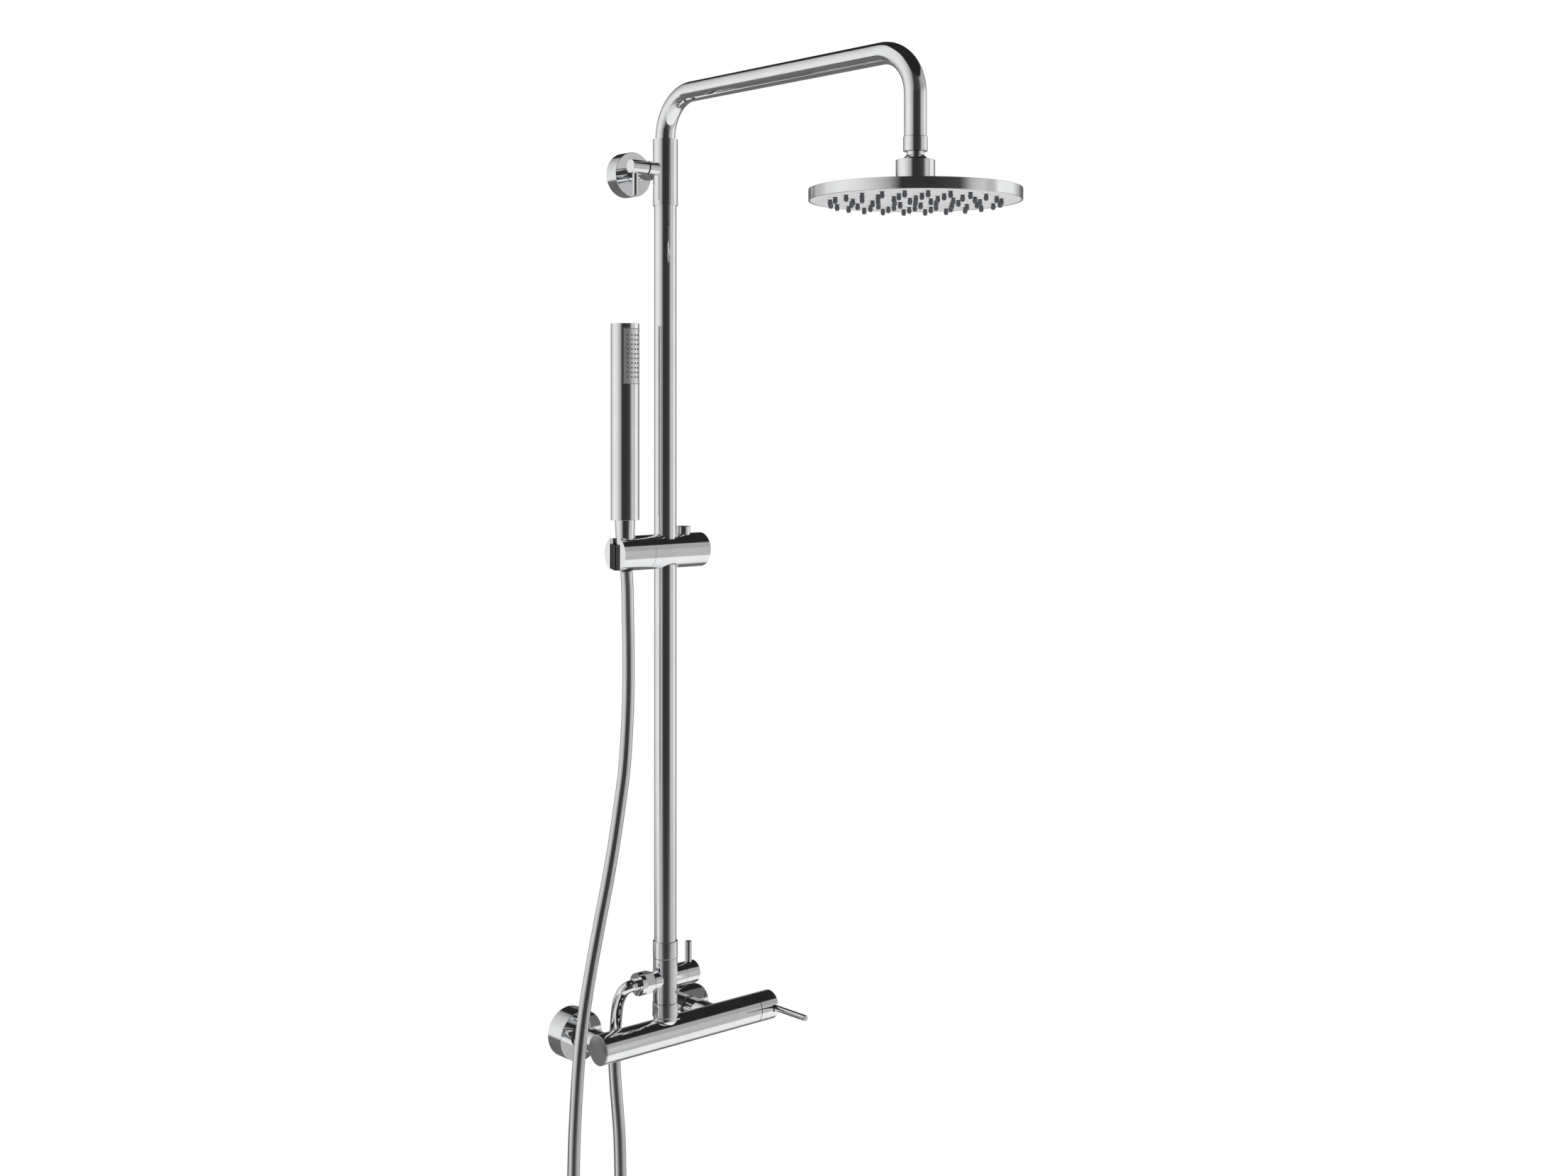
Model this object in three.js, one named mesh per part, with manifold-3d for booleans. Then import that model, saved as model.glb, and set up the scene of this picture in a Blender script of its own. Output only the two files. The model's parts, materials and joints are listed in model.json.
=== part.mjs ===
// Rainfall shower column: a bar mixer on two wall unions, a diverter, a telescopic column with a
// swivelling arm and rain head, and a hand shower in a cradle that slides on the column.
// Millimetres, +Z up. The origin is on the wall plane, midway between the two water inlets at the
// height of the mixer bar. +X is to the right of someone facing the wall, and +Y goes into the wall.
import * as THREE from 'three';
import { mergeVertices } from 'three/addons/utils/BufferGeometryUtils.js';
import Module from 'manifold-3d';

const wasm = await Module();
wasm.setup();

// ---------------------------------------------------------------- driving dimensions
const GAP = 0.3; // clearance between pieces that touch
const WALL_TO_COLUMN = 74; // wall plane to the axes of bar and column
const INLET_SPACING = 150;

const bar = { radius: 16, left: -90, right: 124.7, bore: 8, socket: 12.8, socketStart: 90 };
const handle = { start: 125.6, end: 149.5, wall: 1.8, pivotX: 141.5, leverX: 145.3 };
const lever = { radius: 3.3, reach: 66.5, hubRadius: 4.5, hubHeight: 12 };
const rosette = { radius: 27, depth: 24, wall: 1.3, hole: 12.6 };
const union = { radius: 12.3, bore: 10.2, front: 17.8, spigot: 9.8, spigotEnd: 30, waterway: 6 };

const column = { radius: 12, bore: 11, bottom: 82, top: 915 };
const neck = { bottom: 8, top: 17.6, radius: 12.8 };
const lowerNut = { bottom: 17.8, top: 33.1, radius: 13.9 };
const diverter = { bottom: 33.4, top: 81.2, radius: 13.25, axis: 59, boss: 12, bossEnd: 22 };
const upperNut = { bottom: 81.5, top: 99.5, radius: 13.4 };
const knob = { start: 22.3, end: 39, radius: 12, pinX: 32, pinRadius: 3.5, pinTop: 93 };
const outlet = { stub: 9.3, stubEnd: -19.5, nutStart: -21.2, hexEnd: -33.5, nutEnd: -38.6 };
const pipe = { radius: 6.2, bore: 4.6, start: -44.8 };

const collar = { bottom: 893, top: 964.6, radius: 13.35, axis: 932 };
const bracket = { radius: 9, rosetteRadius: 24.5, rosetteDepth: 17.6, plateRadius: 21, plateDepth: 5 };
const lock = { stubEnd: -25, knobStart: -26.6, knobEnd: -47.2, radius: 7.3, pinX: -40.6, pinEnd: 901 };
const lockStem = { radius: 3, hole: 3.4 };

const arm = { radius: 10.6, bore: 9.2, axis: 1011, reach: 377, foot: 660 };
const armBend = { back: 45.5, front: 44 };
const head = { radius: 100, bottom: 867.2, rimTop: 878.1, hubTop: 884, hubRadius: 18.2, wall: 1.2 };
const ball = { radius: 14, centre: 898.4, neckRadius: 8.2 };
const swivel = { radius: 18.4, top: 905.2 };
const armNut = { bottom: 913.4, top: 927.1, radius: 11.4 };

const slider = { radius: 18.5, left: -67.5, seam: -26.5, right: 48.5, axis: 520, button: 24.7 };
const handset = { x: -54.25, radius: 15.2, bottom: 555.7, top: 764, tailRadius: 10.8 };
const hose = { radius: 6.5 };

/** Sides of a turned solid: the rain head, large, ordinary and small pieces. */
const [HEAD, LARGE, ROUND, SMALL] = [32, 24, 16, 12];

// ---------------------------------------------------------------- finishes
const finish = (color, roughness, metalness) => ({ color, roughness, metalness });
const CHROME = finish(0xd9dadc, 0.07, 1);
const BRASS = finish(0xb08d4c, 0.35, 1);
const STEEL = finish(0xb9bbbe, 0.3, 1);
const BLACK_RUBBER = finish(0x141414, 0.7, 0);
const BLACK_PLASTIC = finish(0x1b1b1c, 0.45, 0);
const WHITE_PLASTIC = finish(0xe4e4e2, 0.4, 0);
const SATIN_PLATE = finish(0xc9cbcd, 0.3, 0.6);
const GREY_SILICONE = finish(0x3c3e40, 0.6, 0);
const SILVER_HOSE = finish(0xc4c6c8, 0.25, 0.8);

// ---------------------------------------------------------------- solids
/** Signed volume of an indexed geometry: positive when its faces point out. */
function signedVolume(positions, triangles) {
  const corner = (i) => new THREE.Vector3().fromArray(positions, 3 * triangles[i]);
  let volume = 0;
  for (let i = 0; i < triangles.length; i += 3) {
    volume += corner(i).dot(corner(i + 1).cross(corner(i + 2))) / 6;
  }
  return volume;
}

/** Turns a closed three.js geometry into a solid that can be cut and joined. */
function solid(geometry) {
  const bare = geometry.clone();
  bare.deleteAttribute('normal');
  bare.deleteAttribute('uv');
  const merged = mergeVertices(bare, 1e-4);
  const index = [...merged.index.array];
  const triangles = [];
  for (let i = 0; i < index.length; i += 3) {
    const [a, b, c] = index.slice(i, i + 3);
    if (a !== b && b !== c && c !== a) triangles.push(a, b, c);
  }
  const positions = merged.attributes.position.array;
  if (signedVolume(positions, triangles) < 0) triangles.reverse();
  const vertProperties = Float32Array.from(positions);
  const triVerts = Uint32Array.from(triangles);
  return new wasm.Manifold(new wasm.Mesh({ numProp: 3, vertProperties, triVerts }));
}

const join = (first, ...others) => others.reduce((sum, other) => sum.add(other), first);
const cut = (first, ...others) => others.reduce((rest, other) => rest.subtract(other), first);

/** Rotations that carry a lathe's own Y axis onto X, Y or Z. */
const ONTO = {
  x: new THREE.Matrix4().makeRotationZ(-Math.PI / 2),
  y: new THREE.Matrix4(),
  z: new THREE.Matrix4().makeRotationX(Math.PI / 2),
};

/** A turned solid: profile points are [radius, distance along the axis]. */
function turned(axis, profile, sides = ROUND, at = [0, 0, 0]) {
  const points = profile.map(([radius, distance]) => new THREE.Vector2(radius, distance));
  const geometry = new THREE.LatheGeometry(points, sides);
  geometry.applyMatrix4(ONTO[axis]);
  return solid(geometry.translate(...at));
}

/** A plain rod from one distance to another along an axis. */
const rod = (axis, radius, from, to, sides = ROUND, at = [0, 0, 0]) =>
  turned(axis, [[0, from], [radius, from], [radius, to], [0, to]], sides, at);

/** A ring or sleeve with a straight bore. */
function sleeve(axis, outer, inner, from, to, sides = ROUND, at = [0, 0, 0]) {
  const profile = [[inner, from], [outer, from], [outer, to], [inner, to], [inner, from]];
  return turned(axis, profile, sides, at);
}

/** A rod with a small bevel at the end named 'from', 'to' or 'both'. */
function bevelledRod(axis, radius, from, to, bevel, ends = 'both', sides = ROUND, at = [0, 0, 0]) {
  const step = Math.sign(to - from) * bevel;
  const start = ends === 'to' ? [[radius, from]] : [[radius - bevel, from], [radius, from + step]];
  const end = ends === 'from' ? [[radius, to]] : [[radius, to - step], [radius - bevel, to]];
  return turned(axis, [[0, from], ...start, ...end, [0, to]], sides, at);
}

function box(width, depth, height, x, y, z) {
  return solid(new THREE.BoxGeometry(width, depth, height).translate(x, y, z));
}

/** A curve through chosen stations, so that straight stretches need only their two ends. */
class StationCurve extends THREE.Curve {
  constructor(stations, tangents) {
    super();
    this.stations = stations;
    this.tangents = tangents;
  }

  nearest(list, u) {
    return list[Math.round(u * (list.length - 1))].clone();
  }

  getPointAt(u) {
    return this.nearest(this.stations, u);
  }

  getTangentAt(u) {
    return this.nearest(this.tangents, u);
  }
}

/** A round section with an optional bore, swept along stations. */
function swept(stations, tangents, outer, inner, sides) {
  const section = new THREE.Shape();
  section.absarc(0, 0, outer, 0, 2 * Math.PI);
  if (inner > 0) {
    const bore = new THREE.Path();
    bore.absarc(0, 0, inner, 0, 2 * Math.PI, true);
    section.holes.push(bore);
  }
  const extrudePath = new StationCurve(stations, tangents);
  const settings = { steps: stations.length - 1, curveSegments: sides, extrudePath };
  return solid(new THREE.ExtrudeGeometry(section, settings));
}

/** A tube through hand-chosen points, with evenly spaced steps. */
function hoseTube(points, outer, inner, steps, sides) {
  const corners = points.map((point) => new THREE.Vector3(...point));
  const curve = new THREE.CatmullRomCurve3(corners, false, 'centripetal');
  const stations = [];
  const tangents = [];
  for (let i = 0; i <= steps; i += 1) {
    stations.push(curve.getPointAt(i / steps));
    tangents.push(curve.getTangentAt(i / steps));
  }
  return swept(stations, tangents, outer, inner, sides);
}

// ---------------------------------------------------------------- scene graph
const shower = new THREE.Group();

/** Adds a group of parts whose own origin lies at a point of the shower. */
function assembly(x, y, z) {
  const group = new THREE.Group();
  group.position.set(x, y, z);
  shower.add(group);
  return group;
}

/** Adds one named piece to an assembly. */
function piece(group, name, shape, look, at = [0, 0, 0]) {
  const { numProp, vertProperties, triVerts } = shape.getMesh();
  const geometry = new THREE.BufferGeometry();
  const positions = new Float32Array((vertProperties.length / numProp) * 3);
  for (let i = 0; i < positions.length / 3; i += 1) {
    positions.set(vertProperties.subarray(i * numProp, i * numProp + 3), 3 * i);
  }
  geometry.setAttribute('position', new THREE.BufferAttribute(positions, 3));
  geometry.setIndex(new THREE.BufferAttribute(Uint32Array.from(triVerts), 1));
  geometry.computeVertexNormals();
  const mesh = new THREE.Mesh(geometry, new THREE.MeshStandardMaterial(look));
  mesh.name = name;
  mesh.position.set(...at);
  group.add(mesh);
}

// ---------------------------------------------------------------- mixer bar
const mixer = assembly(0, -WALL_TO_COLUMN, 0);
const inletX = INLET_SPACING / 2;

/** Boss and threaded spigot on the back of the bar, one for each inlet. */
function inletSpigot(x) {
  const boss = rod('y', union.radius, 0, union.front - GAP, ROUND, [x, 0, 0]);
  return join(boss, rod('y', union.spigot, 0, union.spigotEnd, ROUND, [x, 0, 0]));
}

function barBody() {
  const tube = rod('x', bar.radius, bar.left + 1.6, bar.right, LARGE);
  const neckProfile = [
    [0, neck.bottom], [11, neck.bottom], [neck.radius, neck.top - 3.5], [neck.radius, neck.top],
    [10.8, neck.top], [10.8, lowerNut.top - 3], [0, lowerNut.top - 3],
  ];
  const outside = join(tube, turned('z', neckProfile), inletSpigot(-inletX), inletSpigot(inletX));
  const bores = [
    rod('x', bar.bore, bar.left, bar.right, ROUND),
    rod('x', bar.socket, bar.socketStart, bar.right + 1, ROUND),
    rod('z', union.waterway, 0, lowerNut.top, SMALL),
    rod('y', union.waterway, 0, union.spigotEnd + 1, SMALL, [-inletX, 0, 0]),
    rod('y', union.waterway, 0, union.spigotEnd + 1, SMALL, [inletX, 0, 0]),
  ];
  return cut(outside, ...bores);
}

piece(mixer, 'bar_body', barBody(), CHROME);
piece(mixer, 'bar_end_cap', join(
  bevelledRod('x', bar.radius, bar.left, bar.left + 1.3, 0.4, 'from', LARGE),
  rod('x', bar.bore - GAP, bar.left + 1, bar.left + 11, ROUND),
), CHROME);

const cartridgeEnd = handle.start - 4;
piece(mixer, 'mixer_cartridge', turned('x', [
  [0, 92], [11, 92], [12.5, 94], [12.5, cartridgeEnd - 3], [9, cartridgeEnd - 3], [9, cartridgeEnd],
  [0, cartridgeEnd],
]), WHITE_PLASTIC);
piece(mixer, 'handle_seal_ring',
  sleeve('x', 15.8, 13.4, bar.right + 0.15, handle.start - 0.2, LARGE), BLACK_RUBBER);

// ---------------------------------------------------------------- wall unions, one at each inlet
const ECCENTRIC_OFFSET = 4;

/** Pipe connector whose wall end sits lower than its front end. */
function eccentric() {
  const body = join(
    rod('y', 10, -12, 0, ROUND, [0, 0, -ECCENTRIC_OFFSET]),
    rod('y', 15, -16, -12, ROUND),
    rod('y', 9.8, -32, -16, ROUND),
  );
  const ways = [
    rod('y', union.waterway, -14, 1, SMALL, [0, 0, -ECCENTRIC_OFFSET]),
    rod('y', union.waterway, -33, -14, SMALL),
  ];
  return cut(body, ...ways);
}

for (const [side, x] of [['left', -inletX], ['right', inletX]]) {
  const wall = assembly(x, 0, 0);
  const rosetteInside = rosette.radius - rosette.wall;
  const faceBack = -rosette.depth + rosette.wall;
  piece(wall, `${side}_rosette`, turned('y', [
    [rosetteInside, 0], [rosette.radius, 0], [rosette.radius, 0.5 - rosette.depth],
    [rosette.radius - 0.5, -rosette.depth], [rosette.hole, -rosette.depth], [rosette.hole, faceBack],
    [rosetteInside, faceBack], [rosetteInside, 0],
  ], LARGE), CHROME);
  piece(wall, `${side}_eccentric`, eccentric(), BRASS);
  const sealFrom = -rosette.depth - 2;
  piece(wall, `${side}_union_seal`,
    sleeve('y', union.radius, union.bore, sealFrom, -rosette.depth - GAP), BLACK_RUBBER);
  piece(wall, `${side}_union_nut`,
    sleeve('y', union.radius, union.bore, union.front - WALL_TO_COLUMN, sealFrom - GAP), CHROME);
  piece(wall, `${side}_filter_washer`, sleeve('y', 9.6, 5, -35, -32.4, SMALL), BLACK_RUBBER);
}

// ---------------------------------------------------------------- mixer handle and lever
const slotHalf = lever.radius + 0.5;

function mixerHandle() {
  const inside = bar.radius - handle.wall;
  const cup = turned('x', [
    [inside, handle.start], [bar.radius, handle.start], [bar.radius, handle.end - 0.6],
    [bar.radius - 0.6, handle.end], [0, handle.end], [0, handle.end - handle.wall],
    [inside, handle.end - handle.wall], [inside, handle.start],
  ], LARGE);
  const slotFrom = handle.leverX - slotHalf;
  const slotLength = handle.end + 1 - slotFrom;
  return cut(cup, box(slotLength, 20, 2 * slotHalf, slotFrom + slotLength / 2, -7.2, 0));
}

function mixerLever() {
  const pin = bevelledRod('y', lever.radius, -lever.reach, -1, 0.5, 'from', ROUND, [handle.leverX, 0, 0]);
  const half = lever.hubHeight / 2;
  const hub = rod('z', lever.hubRadius, -half, half, SMALL, [handle.pivotX, 0, 0]);
  return cut(join(hub, pin), rod('z', 1.9, -half - 1, half + 1, SMALL, [handle.pivotX, 0, 0]));
}

const hubLeft = handle.pivotX - lever.hubRadius;
piece(mixer, 'mixer_handle', mixerHandle(), CHROME);
piece(mixer, 'cartridge_spindle', turned('x', [
  [0, cartridgeEnd + GAP], [5, cartridgeEnd + GAP], [5, hubLeft - 4], [7, hubLeft - 3],
  [7, hubLeft - 0.6], [0, hubLeft - 0.6],
], SMALL), STEEL);
piece(mixer, 'lever_pivot_pin', rod('z', 1.5, -13.6, 13.6, SMALL), STEEL, [handle.pivotX, 0, 0]);
piece(mixer, 'mixer_lever', mixerLever(), CHROME);

// ---------------------------------------------------------------- diverter on top of the bar
const nutBore = 11.2;
piece(mixer, 'lower_ring_nut', turned('z', [
  [nutBore, lowerNut.bottom + GAP], [lowerNut.radius - 0.6, lowerNut.bottom + GAP],
  [lowerNut.radius, lowerNut.bottom + 1], [lowerNut.radius, lowerNut.top], [nutBore, lowerNut.top],
  [nutBore, lowerNut.bottom + GAP],
]), CHROME);

const SPIGOT_TOP = 97;
const RING_GROOVE = { from: 88, to: 90.8, radius: 9.4 };

function diverterBody() {
  const core = turned('z', [
    [0, diverter.bottom], [diverter.radius, diverter.bottom], [diverter.radius, diverter.top],
    [10.6, diverter.top], [10.6, RING_GROOVE.from], [RING_GROOVE.radius, RING_GROOVE.from],
    [RING_GROOVE.radius, RING_GROOVE.to], [10.6, RING_GROOVE.to], [10.6, SPIGOT_TOP], [0, SPIGOT_TOP],
  ]);
  const cross = [0, 0, diverter.axis];
  const boss = rod('x', diverter.boss, 0, diverter.bossEnd, 24, cross);
  const stub = rod('x', outlet.stub, outlet.stubEnd, 0, 24, cross);
  const ways = [
    rod('z', 7.4, diverter.bottom - 1, SPIGOT_TOP + 1, SMALL),
    rod('x', 8.3, -8, diverter.bossEnd + 1, 20, cross),
    rod('x', 5.4, outlet.stubEnd - 1, 0, 16, cross),
  ];
  return cut(join(core, boss, stub), ...ways);
}

piece(mixer, 'diverter_body', diverterBody(), CHROME);
piece(mixer, 'column_o_ring',
  sleeve('z', 10.8, 9.6, RING_GROOVE.from + GAP, RING_GROOVE.to - GAP), BLACK_RUBBER);
piece(mixer, 'diverter_cartridge', cut(
  rod('x', 8, -7, 16, ROUND),
  rod('z', 3, -9, 9, SMALL),
), WHITE_PLASTIC, [0, 0, diverter.axis]);

const knobGroup = new THREE.Group();
knobGroup.position.z = diverter.axis;
mixer.add(knobGroup);
const knobInside = knob.radius - 1.8;
piece(knobGroup, 'diverter_knob', cut(
  turned('x', [
    [knobInside, knob.start], [knob.radius, knob.start], [knob.radius, knob.end - 0.6],
    [knob.radius - 0.6, knob.end], [0, knob.end], [0, knob.end - 2], [knobInside, knob.end - 2],
    [knobInside, knob.start],
  ], LARGE),
  rod('z', knob.pinRadius + GAP, 0, 20, SMALL, [knob.pinX, 0, 0]),
), CHROME);
const pinLength = knob.pinTop - diverter.axis;
piece(knobGroup, 'diverter_knob_pin',
  bevelledRod('z', knob.pinRadius, 6, pinLength, 0.6, 'to'), CHROME, [knob.pinX, 0, 0]);
piece(knobGroup, 'diverter_spindle', rod('x', 3.6, 16.3, knob.end - 2.3, SMALL), STEEL);

piece(mixer, 'upper_ring_nut', turned('z', [
  [column.radius + GAP, upperNut.bottom], [upperNut.radius, upperNut.bottom],
  [upperNut.radius, upperNut.top - 0.5], [upperNut.radius - 0.5, upperNut.top],
  [column.radius + GAP, upperNut.top], [column.radius + GAP, upperNut.bottom],
]), CHROME);
piece(mixer, 'column_tube', sleeve('z', column.radius, column.bore, column.bottom, column.top, LARGE), CHROME);

// ---------------------------------------------------------------- hand shower outlet
const outletGroup = new THREE.Group();
outletGroup.position.z = diverter.axis;
mixer.add(outletGroup);
const ferrule = { radius: 6.7, start: -22, bore: 4.6 };

function outletNut() {
  const flange = 12.2;
  const hexCorner = 12.4;
  const hexLength = outlet.nutStart - outlet.hexEnd;
  const hex = solid(new THREE.CylinderGeometry(hexCorner, hexCorner, hexLength, 6)
    .rotateZ(Math.PI / 2).translate((outlet.nutStart + outlet.hexEnd) / 2, 0, 0));
  const rounding = turned('x', [
    [0, outlet.hexEnd - 1], [13, outlet.hexEnd - 1], [13, outlet.nutStart - 2],
    [11, outlet.nutStart], [0, outlet.nutStart],
  ]);
  const round = bevelledRod('x', flange, outlet.nutEnd, outlet.hexEnd + 0.5, 0.8, 'from');
  return cut(
    join(hex.intersect(rounding), round),
    rod('x', ferrule.radius + GAP, outlet.nutEnd - 1, outlet.nutStart + 1, ROUND),
  );
}

piece(outletGroup, 'outlet_seal',
  sleeve('x', outlet.stub - 0.4, 6, outlet.nutStart + GAP, outlet.stubEnd - GAP), BLACK_RUBBER);
piece(outletGroup, 'outlet_union_nut', outletNut(), CHROME);
piece(outletGroup, 'outlet_ferrule',
  sleeve('x', ferrule.radius, ferrule.bore, pipe.start + GAP, ferrule.start, ROUND), CHROME);

/** The pipe leaves the ferrule sideways, swings back and drops behind the bar. */
const pipeRoute = [
  [pipe.start, 0, diverter.axis], [-47.6, 0, diverter.axis], [-51.8, 3.6, 55.6], [-52.8, 10.5, 46.5],
  [-52, 16.2, 35], [-51.2, 20.8, 12], [-51, 23, -4], [-51, 23.2, -9],
];
piece(mixer, 'outlet_pipe', hoseTube(pipeRoute, pipe.radius, pipe.bore, 12, 6), CHROME);
piece(mixer, 'hose_end_nut', cut(
  turned('z', [
    [0, -24], [7.2, -24], [8.2, -23], [8.2, -10.3], [7.4, -9.3], [0, -9.3],
  ], ROUND),
  rod('z', 4.6, -25, -8, SMALL),
), CHROME, [-51, 23.2, 0]);

// ---------------------------------------------------------------- hose, 1.5 m with its two nuts
/** Route of the hose from the hand shower's nut down through its free loop to the outlet pipe. */
const hoseRoute = [
  [-52.4, 0, 501], [-51.1, 0, 482], [-50.6, 0, 458], [-49.8, 0, 420], [-50, 0, 370], [-52.2, 0, 325],
  [-55.6, 0, 288], [-60.6, 0, 258], [-68.4, 0, 216], [-77.3, 0, 175], [-87.5, 0, 134], [-99.2, 0, 84],
  [-107.6, 0, 42], [-114, 0, -4], [-119.3, 0.4, -79], [-121.6, 0.9, -150], [-126.5, 1.5, -213],
  [-136.3, 2.2, -272], [-148.5, 3.2, -331], [-156, 4.5, -384], [-152.5, 6, -405.7],
  [-140.6, 7.5, -425.2], [-121.9, 9, -438.5], [-99.5, 10.5, -443.5], [-77, 12, -439.3],
  [-57.8, 13.5, -426.7], [-45.2, 15, -407.5], [-41, 16.5, -386], [-41.2, 17.6, -325],
  [-43, 18.3, -255], [-45.6, 18.8, -180], [-47.5, 19.2, -104], [-49.8, 21.8, -58],
  [-50.9, 23.1, -32], [-51, 23.2, -24.5],
];
piece(mixer, 'shower_hose', hoseTube(hoseRoute, hose.radius, 0, 52, 5), SILVER_HOSE);

// ---------------------------------------------------------------- upper bracket and height lock
const upper = assembly(0, -WALL_TO_COLUMN, collar.axis);
const collarFrom = collar.bottom - collar.axis;
const collarTo = collar.top - collar.axis;
const columnEnd = column.top - collar.axis;

function upperCollar() {
  const outside = join(
    bevelledRod('z', collar.radius, collarFrom, collarTo, 0.6, 'both', LARGE),
    rod('x', lock.radius, lock.stubEnd, 0, ROUND),
    rod('y', bracket.radius, 0, 22, ROUND),
  );
  const bores = [
    rod('z', column.radius + GAP, collarFrom - 1, columnEnd + GAP, LARGE),
    rod('z', 11.9, columnEnd, collarTo + 1, LARGE),
    rod('x', lockStem.hole, lock.stubEnd - 1, 0, SMALL),
  ];
  return cut(outside, ...bores);
}

piece(upper, 'upper_collar', upperCollar(), CHROME);
piece(upper, 'collar_guide_bush', cut(
  sleeve('z', 11.6, arm.radius + GAP, columnEnd + GAP + 0.3, collarTo - 0.5, LARGE),
  rod('x', lockStem.hole, -20, 0, SMALL),
), BLACK_PLASTIC);
piece(upper, 'height_lock_seal',
  sleeve('x', lock.radius - 0.4, 3.6, lock.knobStart + GAP, lock.stubEnd - GAP), BLACK_RUBBER);
piece(upper, 'height_lock_knob', cut(
  join(
    bevelledRod('x', lock.radius, lock.knobEnd, lock.knobStart, 0.5, 'from', ROUND),
    rod('x', lockStem.radius, lock.knobStart - 1, -arm.radius - 0.6, SMALL),
  ),
  rod('z', 2.8, -8, 0, SMALL, [lock.pinX, 0, 0]),
), CHROME);
piece(upper, 'height_lock_pin', join(
  bevelledRod('z', 3.2, lock.pinEnd - collar.axis, -lock.radius - 0.2, 0.5, 'from', ROUND),
  rod('z', 2.4, -9, -2, SMALL),
), CHROME, [lock.pinX, 0, 0]);
piece(upper, 'upper_bracket_arm', rod('y', bracket.radius, 22 + GAP, WALL_TO_COLUMN - 6, ROUND), CHROME);
piece(upper, 'upper_rosette', turned('y', [
  [23, 0], [bracket.rosetteRadius, 0], [bracket.rosetteRadius, -bracket.rosetteDepth + 0.6],
  [bracket.rosetteRadius - 0.6, -bracket.rosetteDepth], [bracket.radius + GAP, -bracket.rosetteDepth],
  [bracket.radius + GAP, -bracket.rosetteDepth + 1.4], [23, -bracket.rosetteDepth + 1.4], [23, 0],
], LARGE), CHROME, [0, WALL_TO_COLUMN, 0]);
piece(upper, 'upper_wall_plate', cut(
  rod('y', bracket.plateRadius, -bracket.plateDepth, 0, ROUND),
  rod('y', 2.6, -bracket.plateDepth - 1, 1, SMALL, [-14, 0, 0]),
  rod('y', 2.6, -bracket.plateDepth - 1, 1, SMALL, [14, 0, 0]),
), STEEL, [0, WALL_TO_COLUMN, 0]);

// ---------------------------------------------------------------- telescopic arm
/** Stations of a quarter bend in the YZ plane: the start angle is measured from +Y. */
function bend(centreY, centreZ, radius, from, to, steps) {
  const stations = [];
  const tangents = [];
  for (let i = 0; i <= steps; i += 1) {
    const angle = from + ((to - from) * i) / steps;
    const turn = Math.sign(to - from);
    const [across, up] = [radius * Math.cos(angle), radius * Math.sin(angle)];
    stations.push(new THREE.Vector3(0, centreY + across, centreZ + up));
    tangents.push(new THREE.Vector3(0, -turn * Math.sin(angle), turn * Math.cos(angle)));
  }
  return [stations, tangents];
}

function showerArm() {
  const up = new THREE.Vector3(0, 0, 1);
  const down = new THREE.Vector3(0, 0, -1);
  const back = bend(-armBend.back, arm.axis - armBend.back, armBend.back, 0, Math.PI / 2, 6);
  const front = bend(-arm.reach + armBend.front, arm.axis - armBend.front, armBend.front,
    Math.PI / 2, Math.PI, 6);
  const stations = [new THREE.Vector3(0, 0, arm.foot), ...back[0], ...front[0],
    new THREE.Vector3(0, -arm.reach, armNut.top + 0.3)];
  const tangents = [up, ...back[1], ...front[1], down];
  return swept(stations, tangents, arm.radius, arm.bore, 8);
}

const armGroup = assembly(0, -WALL_TO_COLUMN, 0);
piece(armGroup, 'shower_arm', showerArm(), CHROME);
piece(armGroup, 'arm_seal_carrier', turned('z', [
  [7, arm.foot - 22], [10.6, arm.foot - 22], [10.6, arm.foot - GAP], [7, arm.foot - GAP],
  [7, arm.foot - 22],
]), BLACK_PLASTIC);

// ---------------------------------------------------------------- rain head on its ball joint
const headGroup = assembly(0, -WALL_TO_COLUMN - arm.reach, ball.centre);
const fromBall = (z) => z - ball.centre;

/** Arc of a sphere's profile, as [radius, height] points from one height to another. */
function sphereArc(radius, from, to, steps) {
  const points = [];
  const start = Math.asin(from / radius);
  const end = Math.asin(to / radius);
  for (let i = 0; i <= steps; i += 1) {
    const angle = start + ((end - start) * i) / steps;
    points.push([radius * Math.cos(angle), radius * Math.sin(angle)]);
  }
  return points;
}

const armNutFrom = fromBall(armNut.bottom);
const armNutTo = fromBall(armNut.top);
piece(headGroup, 'arm_end_nut', turned('z', [
  [5, armNutFrom], [armNut.radius, armNutFrom], [armNut.radius, armNutTo], [5, armNutTo],
  [5, armNutFrom],
]), CHROME);
const neckHeight = Math.sqrt(ball.radius ** 2 - ball.neckRadius ** 2);
piece(headGroup, 'ball_stud', cut(
  turned('z', [
    [0, -11.2], ...sphereArc(ball.radius, -11.2, neckHeight, 6), [ball.neckRadius, armNutFrom - GAP],
    [0, armNutFrom - GAP],
  ]),
  rod('z', 4, -15, armNutFrom + 1, SMALL),
), CHROME);
const ring = { inner: 14.3, outer: 15.5, low: -7, high: 1.2 };
piece(headGroup, 'ball_friction_ring', turned('z', [
  ...sphereArc(ring.outer, ring.low, ring.high, 3),
  ...sphereArc(ring.inner, ring.high, ring.low, 3),
  sphereArc(ring.outer, ring.low, ring.high, 3)[0],
]), BLACK_PLASTIC);

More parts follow.
